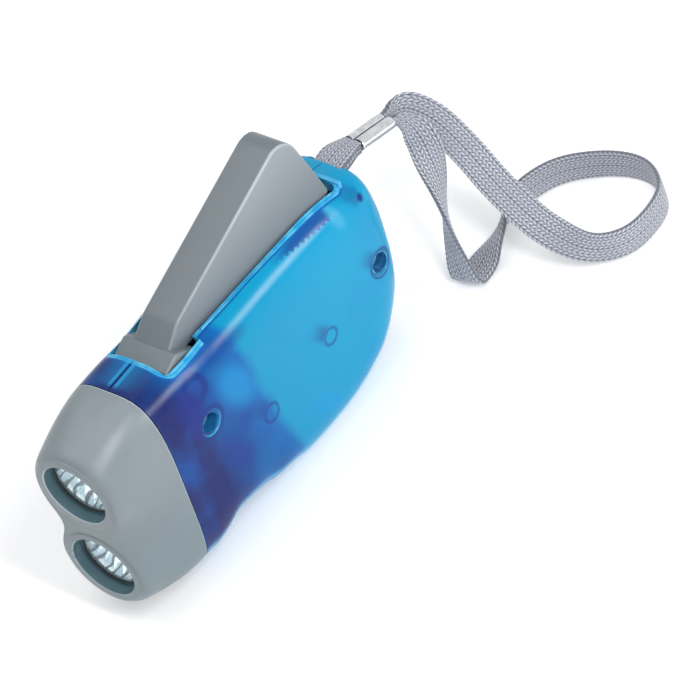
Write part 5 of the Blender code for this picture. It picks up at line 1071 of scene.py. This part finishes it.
def shell_core(side):
    """The hollow of one half: the drawn-in form less the posts, the slot's lips and the switch pad."""
    core = tool("core", shell_sheet(side, WALL))
    kept = side_rods("post", side, POSTS)
    if side > 0:
        for spot in (FRONT_SCREW, TAIL_SCREW):
            kept.append(tool("seat", rod(0.0036, 0.0056, REACH, spot, segments=40)))
    else:
        kept.append(tool("pad", switch_block(0.0091, 0.0054, -BODY_HALF_WIDTH + 0.0028)))
    lip = [
        (-0.0240, SLOT_HALF_WIDTH - SEAT_GAP), (-0.0240, SLOT_HALF_WIDTH + 0.0017),
        (-0.0790, SLOT_TAIL_HALF_WIDTH + 0.0017), (-0.0790, SLOT_TAIL_HALF_WIDTH - SEAT_GAP),
    ]
    lip = [(x, side * wide) for x, wide in lip]
    kept.append(tool("lip", plate(lip, RIM_RISE - 0.0040, BODY_RISE, along="Z")))
    cut(core, kept)
    return core


def make_shell(side, label):
    item = piece(f"shell_{label}", shell_sheet(side), "shell", "blue_clear", f"housing_{label}")
    low_y, high_y = span(side, PARTING_GAP / 2, REACH)
    end = -BODY_LENGTH - TRIM
    cut(item, [tool("keep", block((end, low_y, -BELLY_DEPTH - TRIM), (-0.0001, high_y, TALL)))], "INTERSECT")
    cut(item, [shell_core(side)])
    exit_low = (end, -EXIT_HALF_WIDTH, EXIT_LOW)
    cutters = [
        tool("rim", block((-SLOT_BACK, -REACH, RIM_RISE), (-SLOT_FRONT, REACH, TALL))),
        tool("slot", plate(slot_outline(), SLOT_DEPTH, TALL, along="Z")),
        tool("exit", block(exit_low, (-EXIT_FRONT, EXIT_HALF_WIDTH, EXIT_HIGH))),
    ]
    cutters += side_rods("bore", side, BORES)
    for spot in (FRONT_SCREW, TAIL_SCREW):
        if side > 0:
            recess = rod(0.0032, BODY_HALF_WIDTH - 0.0004, REACH, spot, end_radius=0.0042)
            cutters.append(tool("recess", recess))
            cutters.append(tool("well", rod(0.0026, 0.0069 + SCREW_LIFT, REACH, spot)))
            cutters.append(tool("shank", rod(0.0014, -TRIM, 0.0072 + SCREW_LIFT, spot, segments=40)))
        else:
            cutters.append(tool("pilot", rod(0.0014, -0.0101, TRIM, spot, segments=40)))
    if side < 0:
        cutters.append(tool("pocket", bevelled(switch_block(0.0075, 0.0038, POCKET_FLOOR), 0.0007)))
        cutters.append(tool("slit", switch_block(0.0031, 0.0013, -0.0090)))
    cut(item, cutters)


for side, label in SIDES:
    make_shell(side, label)


# ---------------------------------------------------------------- head

HEAD_COLUMNS = 184
HEAD_STATIONS = 40
LEVELS = (("upper", LENS_SPACING / 2), ("lower", -LENS_SPACING / 2))


def head_section(blend, keep, share):
    """A point of one section of the head: the rear shape blended into the two-lobed front."""
    half = HEAD_FRONT_SHARES + tuple((-wide, high) for wide, high in reversed(HEAD_FRONT_SHARES[1:-1]))
    wide_share, high_share = row_at(half, share, closed=True)
    front = Vector((wide_share * LOBE_HALF_WIDTH, high_share * LOBE_REACH))
    top_middle = HEAD_MIDDLE_SHARE * BODY_RISE
    low_middle = -HEAD_LOW_MIDDLE_SHARE * BELLY_DEPTH
    bottom = -HEAD_BOTTOM_SHARE * BELLY_DEPTH
    high = min(max(high_share, -1.0), 1.0)
    rear_z = high * (BODY_RISE if high > 0 else -bottom)
    if rear_z > top_middle:
        level = (rear_z - top_middle) / (BODY_RISE - top_middle)
        power = HEAD_TOP_POWER
    else:
        level = max(low_middle - rear_z, 0) / (low_middle - bottom)
        power = HEAD_BOTTOM_POWER
    rear_y = BODY_HALF_WIDTH * max(1 - min(level, 1) ** power, 0) ** (1 / power)
    rear = Vector((math.copysign(rear_y, wide_share), rear_z))
    return rear.lerp(front, blend) * keep


def head_sheet(inset=0.0):
    """The head as a closed form; an inset draws its sides and front in, and runs it out at the back."""
    def place(around, along):
        station, blend, keep = row_at(HEAD_STATION_SHARES, along)
        spot = head_section(min(max(blend, 0.0), 1.0), min(keep, 1.0), around)
        reach = min(station * HEAD_LENGTH, HEAD_LENGTH - inset)
        back = TRIM * 2 if inset and along == 0 else 0.0
        wide = 1 - inset / LOBE_HALF_WIDTH
        high = 1 - inset / LOBE_REACH
        return (reach - back, spot.x * wide, spot.y * high)

    return capped(grid_mesh(HEAD_COLUMNS, HEAD_STATIONS, place))


def mark_faces(item, name, rule):
    """Give each face a value from its middle and its normal, for its material."""
    mesh = item.data
    layer = mesh.attributes.new(name, "FLOAT", "FACE")
    for polygon in mesh.polygons:
        layer.data[polygon.index].value = rule(polygon.center - ORIGIN, polygon.normal)


def past_bore(centre):
    """How far a point is outside the nearer of the two bores."""
    return min(math.hypot(centre.y, centre.z - level) for label, level in LEVELS) - BORE_RADIUS - 0.0001


def bore_shade_mark(centre, normal):
    """1 on the walls of the two bores, for painted shade."""
    return 1.0 if past_bore(centre) < 0 and abs(normal.x) < 0.3 else 0.0


def chamfer_highlight_mark(centre, normal):
    """1 on the bevels round the bores, for painted highlights."""
    return 1.0 if 0 < past_bore(centre) < 0.0012 and 0.2 < abs(normal.x) < 0.98 else 0.0


def make_head():
    item = piece("head_shell", head_sheet(), "head", "grey_plastic", "head_bezel")
    cut(item, [tool("core", head_sheet(HEAD_WALL))])
    back = HEAD_LENGTH - BORE_DEPTH
    front = HEAD_LENGTH + TRIM
    bores = []
    tubes = []
    for label, level in LEVELS:
        spot = (0, 0, level)
        ring = rod(0.0110, HEAD_LENGTH - 0.0020, HEAD_LENGTH + 0.00028, spot, segments=128, along="X")
        tube = rod(BORE_RADIUS + BORE_WALL, back, HEAD_LENGTH - HEAD_WALL / 2, spot, segments=96, along="X")
        bore = rod(BORE_RADIUS, back - TRIM, front, spot, segments=96, along="X")
        chamfer = rod(BORE_RADIUS, HEAD_LENGTH, front, spot, BORE_RADIUS + 0.0010, 96, "X")
        tubes += [tool(f"ring_{label}", bevelled(ring, 0.0006)), tool(f"tube_{label}", tube)]
        bores += [tool(f"bore_{label}", bore), tool(f"chamfer_{label}", chamfer)]
    cut(item, tubes, "UNION")
    cut(item, bores)
    # Painted shade on the walls of the bores, and painted highlights on the bevels round them.
    mark_faces(item, "painted_shade", bore_shade_mark)
    mark_faces(item, "edge", chamfer_highlight_mark)


make_head()


# ---------------------------------------------------------------- rings, windows, reflectors, lamps

RING_DEPTH = 0.0030
RING_THICKNESS = 0.0004
RING_WIDTH = 0.0005
RING_EDGE = 0.0002
LENS_THICKNESS = 0.0005
REFLECTOR_DEPTH = 0.0102
REFLECTOR_NECK = 0.0031
REFLECTOR_WALL = 0.0006
FLANGE_THICKNESS = 0.0005
FACET_COLUMNS = 18
FACET_ROWS = 3
FACET_TWIST = 0.5
LED_RADIUS = 0.0025
LED_LENGTH = 0.0078
LED_FLANGE_RADIUS = 0.00285
LED_FLANGE_THICKNESS = 0.0010
LED_STEPS = 14
OPTIC_OUTER = BORE_RADIUS - SEAT_GAP
OPTIC_INNER = OPTIC_OUTER - RING_WIDTH
RING_FRONT = HEAD_LENGTH - RING_DEPTH
RING_BACK = RING_FRONT - RING_THICKNESS
LENS_FRONT = RING_BACK - 0.0001
LENS_BACK = LENS_FRONT - LENS_THICKNESS
FLANGE_FRONT = LENS_BACK - 0.0001
BOWL_BACK = RING_FRONT - 0.0022 - REFLECTOR_DEPTH
RING_PROFILE = (
    (OPTIC_OUTER, RING_BACK), (OPTIC_OUTER, RING_FRONT - RING_EDGE), (OPTIC_OUTER - RING_EDGE, RING_FRONT),
    (OPTIC_INNER + RING_EDGE, RING_FRONT), (OPTIC_INNER, RING_FRONT - RING_EDGE), (OPTIC_INNER, RING_BACK),
)
WINDOW_PROFILE = (
    (0.0, LENS_BACK), (OPTIC_OUTER - 0.0001, LENS_BACK), (OPTIC_OUTER, LENS_BACK + 0.0001),
    (OPTIC_OUTER, LENS_FRONT - RING_EDGE), (OPTIC_OUTER - RING_EDGE, LENS_FRONT), (0.0, LENS_FRONT),
)


def bowl_reach(radius):
    """How far forward the bowl's inside is at a radius: a parabola from its neck to its rim."""
    share = (radius * radius - REFLECTOR_NECK ** 2) / (OPTIC_INNER * OPTIC_INNER - REFLECTOR_NECK ** 2)
    return BOWL_BACK + (FLANGE_FRONT - BOWL_BACK) * share


def bowl_form(level):
    """The faceted bowl: flat mirrors in turned rings inside, and a plain flange and back."""
    width = OPTIC_INNER - REFLECTOR_NECK
    inside = [REFLECTOR_NECK + width * row / FACET_ROWS for row in range(FACET_ROWS + 1)]
    profile = [(radius, bowl_reach(radius), FACET_TWIST * index) for index, radius in enumerate(inside)]
    profile.append((OPTIC_OUTER, FLANGE_FRONT, FACET_TWIST * FACET_ROWS))
    profile.append((OPTIC_OUTER, FLANGE_FRONT - FLANGE_THICKNESS, FACET_TWIST * FACET_ROWS))
    for index in reversed(range(FACET_ROWS)):
        radius = inside[index] + REFLECTOR_WALL
        profile.append((radius, bowl_reach(inside[index]) - REFLECTOR_WALL * 0.4, FACET_TWIST * index))

    def place(around, along):
        radius, reach, twist = profile[round(along * len(profile)) % len(profile)]
        angle = 2 * math.pi * (around * FACET_COLUMNS + twist) / FACET_COLUMNS
        return (reach, radius * math.cos(angle), radius * math.sin(angle) + level)

    return outward(grid_mesh(FACET_COLUMNS, len(profile), place))


def led_profile():
    base = BOWL_BACK - LED_FLANGE_THICKNESS - SEAT_GAP
    flange = base + LED_FLANGE_THICKNESS
    dome = base + LED_LENGTH - LED_RADIUS
    profile = [(0.0, base), (LED_FLANGE_RADIUS, base), (LED_FLANGE_RADIUS, flange), (LED_RADIUS, flange)]
    for step in range(LED_STEPS + 1):
        angle = math.pi / 2 * (1 - step / LED_STEPS)
        profile.append((LED_RADIUS * math.sin(angle), dome + LED_RADIUS * math.cos(angle)))
    return profile


def make_optics(label, level):
    spot = (0, 0, level)
    ring = moved(turned(RING_PROFILE, 128), spot)
    piece(f"ring_{label}", ring, "rubber", "black_rubber", f"lens_ring_{label}", degrees=50.0)
    window = moved(turned(WINDOW_PROFILE, 96), spot)
    piece(f"window_{label}", window, "lens", "clear_lens", f"lens_{label}", degrees=30.0)
    bowl = piece(f"bowl_{label}", bowl_form(level), "bright", "chrome", f"reflector_{label}", degrees=4.0)
    bowl.data.shade_flat()
    lamp = moved(turned(led_profile(), 48), spot)
    piece(f"lamp_{label}", lamp, "led", "led_resin", f"led_{label}", degrees=50.0)


for label, level in LEVELS:
    make_optics(label, level)


# ---------------------------------------------------------------- lever

LEVER_HALF_WIDTH = 0.0052
LEVER_LEAN = 0.135
LEVER_WALL = 0.0014
LEVER_ROOF = 0.0016
LEVER_EDGE_ROUND = 0.0009
LEVER_FOOT = (-0.0110, 0.0252)
LEVER_STEP = (-0.0163, 0.0273)
LEVER_KNEE = (-0.0221, 0.0310)
LEVER_CREST = (-0.0716, 0.0469)
LEVER_TAIL = (-0.0760, 0.0238)
EAR_BACK = -0.0224
EAR_LOW = 0.0200
EAR_NOTCH = 0.0236
FOOT_BOTTOM = 0.0162
FOOT_HALF_WIDTH = 0.0082
LEVER_PRESS = math.radians(16.2)
GEAR_REACH = 0.0209
GEAR_LOW = 0.0016
GEAR_HIGH = 0.0046


def lever_outline(inset=0.0):
    """The lever's side view, with its walls drawn in where the hollow is cut."""
    low = LEVER_TAIL[1] - (TRIM if inset else 0)
    front_low = FOOT_BOTTOM - TRIM if inset else EAR_LOW
    buried = max(inset, SEAT_GAP)
    corners = [
        (LEVER_FOOT[0] - buried, front_low), (LEVER_FOOT[0] - buried, LEVER_FOOT[1] - buried),
        (LEVER_STEP[0] - buried, LEVER_STEP[1] - buried), (LEVER_KNEE[0] - inset / 2, LEVER_KNEE[1] - inset),
        (LEVER_CREST[0] + inset, LEVER_CREST[1] - inset), (LEVER_TAIL[0] + inset, low),
        (EAR_BACK + SEAT_GAP - inset, low), (EAR_BACK + SEAT_GAP - inset, front_low),
    ]
    crest = max(0.0058 - inset, TRIM)
    return filleted(corners, [0, 0.0010, 0, 0.0060, crest, 0.0010, 0, 0])


def ear_outline():
    """The flared foot of the lever, down to the boss round the hinge pin."""
    corners = [
        (LEVER_FOOT[0], FOOT_BOTTOM), LEVER_FOOT, LEVER_STEP, (EAR_BACK, EAR_NOTCH), (EAR_BACK, EAR_LOW),
        (2 * HINGE.x - LEVER_FOOT[0], FOOT_BOTTOM),
    ]
    return filleted(corners, [0.0022, 0.0010, 0.0010, 0.0010, 0, 0.0022])


def side_edges(bm):
    """The edges round the two flat sides of a plate that lies across Y."""
    picked = []
    for edge in bm.edges:
        sides = [abs(face.normal.y) > 0.8 for face in edge.link_faces]
        if len(sides) == 2 and sides[0] != sides[1]:
            picked.append(edge)
    return picked


def leaning_plate(outline, half_width):
    """A plate as wide as the lever's back along its top line, whose sides lean out below it."""
    bm = plate(outline, -half_width, half_width)
    slope = (LEVER_CREST[1] - LEVER_KNEE[1]) / (LEVER_KNEE[0] - LEVER_CREST[0])
    for vert in bm.verts:
        drop = LEVER_KNEE[1] + (LEVER_KNEE[0] - vert.co.x) * slope - vert.co.z
        vert.co.y += math.copysign(drop * LEVER_LEAN, vert.co.y)
    bm.normal_update()
    return bm


def round_highlight_mark(centre, normal):
    """Up to 1 on the rounded edges along the lever's back, for painted highlights."""
    return max(1 - abs(abs(normal.y) - 0.62) / 0.30, 0.0) * (normal.z > 0.1)


def back_shade_mark(centre, normal):
    """High on the lever's flat back, for painted shade."""
    return 0.85 if normal.z > 0.55 and abs(normal.y) < 0.35 else 0.0


def make_lever():
    solid = leaning_plate(lever_outline(), LEVER_HALF_WIDTH)
    bevelled(solid, LEVER_EDGE_ROUND, side_edges(solid), 5)
    item = piece("lever_fine", solid, "lever", "grey_plastic", "lever", body="lever")
    ears = plate(ear_outline(), -FOOT_HALF_WIDTH, FOOT_HALF_WIDTH)
    ears.normal_update()
    bevelled(ears, LEVER_EDGE_ROUND, side_edges(ears), 4)
    cut(item, [tool("ears", ears)], "UNION")
    reach = FOOT_HALF_WIDTH + TRIM
    away = MAIN_AXLE - HINGE
    run = away.x * math.cos(LEVER_PRESS) - away.z * math.sin(LEVER_PRESS)
    rise = away.x * math.sin(LEVER_PRESS) + away.z * math.cos(LEVER_PRESS)
    cut(item, [
        tool("bore", rod(0.0016, -reach, reach, HINGE)),
        tool("cavity", leaning_plate(lever_outline(LEVER_ROOF), LEVER_HALF_WIDTH - LEVER_WALL)),
        tool("room", rod(0.0035, -0.0049, 0.0049, HINGE)),
        tool("relief", rod(GEAR_REACH, GEAR_LOW, GEAR_HIGH, HINGE + Vector((run, 0, rise)), segments=96)),
    ])
    # Painted highlights on the rounded edges, and painted shade on the flat back.
    mark_faces(item, "edge", round_highlight_mark)
    mark_faces(item, "painted_shade", back_shade_mark)


make_lever()


# ---------------------------------------------------------------- ferrule, screws, pins, slot lip, slider

FERRULE_CENTRE = Vector((-0.1003, 0, 0.0167))
FERRULE_LENGTH = 0.0120
FERRULE_WALL = 0.0003
FERRULE_SLOPE = math.radians(17.0)
# The share along each barrel and how far its surface lies outside the barrel's radius.
FERRULE_ROLLS = ((0.00, -0.00006), (0.02, 0.0), (0.06, 0.0), (0.94, 0.0), (0.98, 0.0), (1.0, -0.00006))
# The screw's half section: radius and reach from the middle plane, the head first.
SCREW_HEAD = (
    (0.0, 0.0088), (0.0012, 0.00874), (0.0019, 0.00855), (0.0023, 0.0082), (0.0023, 0.0072), (0.0011, 0.0072))
SCREW_SHANK = ((0.0011, -0.0090), (0.0, -0.0098))
# The slot's raised lip: how far out and how high above the rim.
LIP_SECTION = (
    (0.0001, -0.0010), (0.0001, 0.00015), (0.00035, 0.00038), (0.00075, 0.00038), (0.0010, 0.00015),
    (0.0010, -0.0010))
LIP_START = -0.0262
SLIDER_TRAVEL = 0.0036


def make_ferrule():
    """The bright crimp: two joined barrels with rolled ends and a seam between them."""
    profile = FERRULE_ROLLS + tuple((share, grow - FERRULE_WALL) for share, grow in reversed(FERRULE_ROLLS))
    along = Vector((-math.cos(FERRULE_SLOPE), 0, -math.sin(FERRULE_SLOPE)))
    across = Vector((0, 1, 0))
    upward = along.cross(across)

    def place(share, row):
        run, grow = profile[round(row * len(profile)) % len(profile)]
        radius = FERRULE_RADIUS + grow
        waist = math.acos(min(FERRULE_OFFSET / radius * 0.92, 1))
        sign = 1 if share < 0.5 else -1
        turn = -math.pi + waist + (2 * math.pi - 2 * waist) * ((share * 2) % 1.0)
        wide = sign * (FERRULE_OFFSET + radius * math.cos(turn))
        high = sign * radius * math.sin(turn)
        return FERRULE_CENTRE + across * wide + upward * high + along * ((run - 0.5) * FERRULE_LENGTH)

    form = outward(grid_mesh(96, len(profile), place))
    piece("ferrule", form, "chrome", "chrome", "strap_ferrule", degrees=40.0)


def make_screw(name, spot):
    """A cross-head screw with a slightly domed head, standing in its well."""
    head = tuple((radius, reach + SCREW_LIFT) for radius, reach in SCREW_HEAD)
    form = moved(spun(turned(head + SCREW_SHANK, 64), math.pi / 2, "Z"), spot)
    item = piece(name, form, "screw", "steel", f"housing_{name}")
    arms = []
    for label, angle in (("one", 0.4), ("two", 0.4 + math.pi / 2)):
        arm = block((-0.0014, 0.0079 + SCREW_LIFT, -0.0003), (0.0014, 0.0095 + SCREW_LIFT, 0.0003))
        arms.append(tool(f"arm_{label}", moved(spun(arm, angle, "Y"), spot)))
    cut(item, arms)


def make_pin(name, radius, reach, spot):
    form = bevelled(rod(radius, -reach, reach, spot), radius * 0.2, segments=3)
    piece(f"{name}_fine", form, "steel", "steel", name)


def lip_path():
    """Points along one side of the slot's edge to the middle plane, and the way outwards at each."""
    share = (LIP_START + FOOT_SLOT_BACK) / (FOOT_SLOT_BACK - SLOT_BACK)
    path = [Vector((LIP_START, SLOT_HALF_WIDTH + (SLOT_TAIL_HALF_WIDTH - SLOT_HALF_WIDTH) * share))]
    path += [Vector(point) for point in slot_outline() if point[0] < -0.060 and point[1] > 0]
    path.append(Vector((-SLOT_BACK, PARTING_GAP / 2)))
    rows = []
    for index, point in enumerate(path):
        ahead = (path[min(index + 1, len(path) - 1)] - path[max(index - 1, 0)]).normalized()
        out = Vector((ahead.y, -ahead.x))
        if out.dot(point - Vector((-0.050, 0))) < 0:
            out = -out
        rows.append((point, out))
    return rows


def make_slot_lip(side, label):
    """A rolled bead that runs round the slot, split at the parting plane like the halves."""
    mesh = bpy.data.objects[f"shell_{label}"].data
    shell = BVHTree.FromPolygons(
        [vert.co - ORIGIN for vert in mesh.vertices], [tuple(polygon.vertices) for polygon in mesh.polygons])
    rows = []
    for point, out in lip_path():
        above = Vector((point.x + out.x * 0.0006, side * (point.y + out.y * 0.0006), BODY_RISE * 1.5))
        hit = shell.ray_cast(above, Vector((0, 0, -1)))[0]
        top = min(hit.z if hit else RIM_RISE, RIM_RISE)
        spots = [(point + out * far, top + rise) for far, rise in LIP_SECTION]
        rows.append([(spot.x, side * spot.y, level) for spot, level in spots])

    def place(share, row):
        return rows[round(row * (len(rows) - 1))][round(share * len(LIP_SECTION)) % len(LIP_SECTION)]

    form = capped(grid_mesh(len(LIP_SECTION), len(rows) - 1, place))
    piece(f"slot_lip_{label}", form, "lip", "blue_clear", degrees=60.0)


def make_slot_wall(side, label):
    """The inner wall that closes the back end of the slot."""
    near, far = span(side, PARTING_GAP / 2, SLOT_TAIL_HALF_WIDTH + 0.0004)
    wall = block((-SLOT_BACK - 0.0012, near, 0.0206), (-SLOT_BACK - 0.00005, far, 0.0246))
    # The wall takes the lip's finish, with its faint painted glow.
    piece(f"slot_wall_{label}", bevelled(wall, 0.0002, segments=2), "lip", "blue_clear")


def make_slider():
    """The thumb slider with its four ribs, on the stem that reaches through the slit."""
    rest = SWITCH_CENTRE - Vector((SLIDER_TRAVEL / 2, 0, 0))
    high = POCKET_FLOOR - SEAT_GAP
    low = high - 0.0005

    def bar(middle, half_length, half_height, start, end):
        return block(
            rest + Vector((middle - half_length, start, -half_height)),
            rest + Vector((middle + half_length, end, half_height)))

    body = bevelled(bar(0, 0.0046, 0.0033, low, high), 0.0002, segments=2)
    item = piece("slider_fine", body, "lever", "grey_plastic", "switch_slider", body="switch")
    extra = [tool("stem", bar(0, 0.0010, 0.0010, low + 0.0002, -0.0112))]
    for index in range(4):
        rib = bar((index - 1.5) * 0.0016, 0.0003, 0.0027, low - 0.0003, low + 0.0003)
        extra.append(tool(f"rib_{index}", bevelled(rib, 0.00012, segments=2)))
    cut(item, extra, "UNION")


make_ferrule()
make_screw("screw_front", FRONT_SCREW)
make_screw("screw_tail", TAIL_SCREW)
make_pin("hinge_pin", 0.0015, 0.0112, HINGE)
make_pin("strap_pin", 0.0012, 0.0092, STRAP_PIN)
for side, label in SIDES:
    make_slot_lip(side, label)
for side, label in SIDES:
    make_slot_wall(side, label)
make_slider()
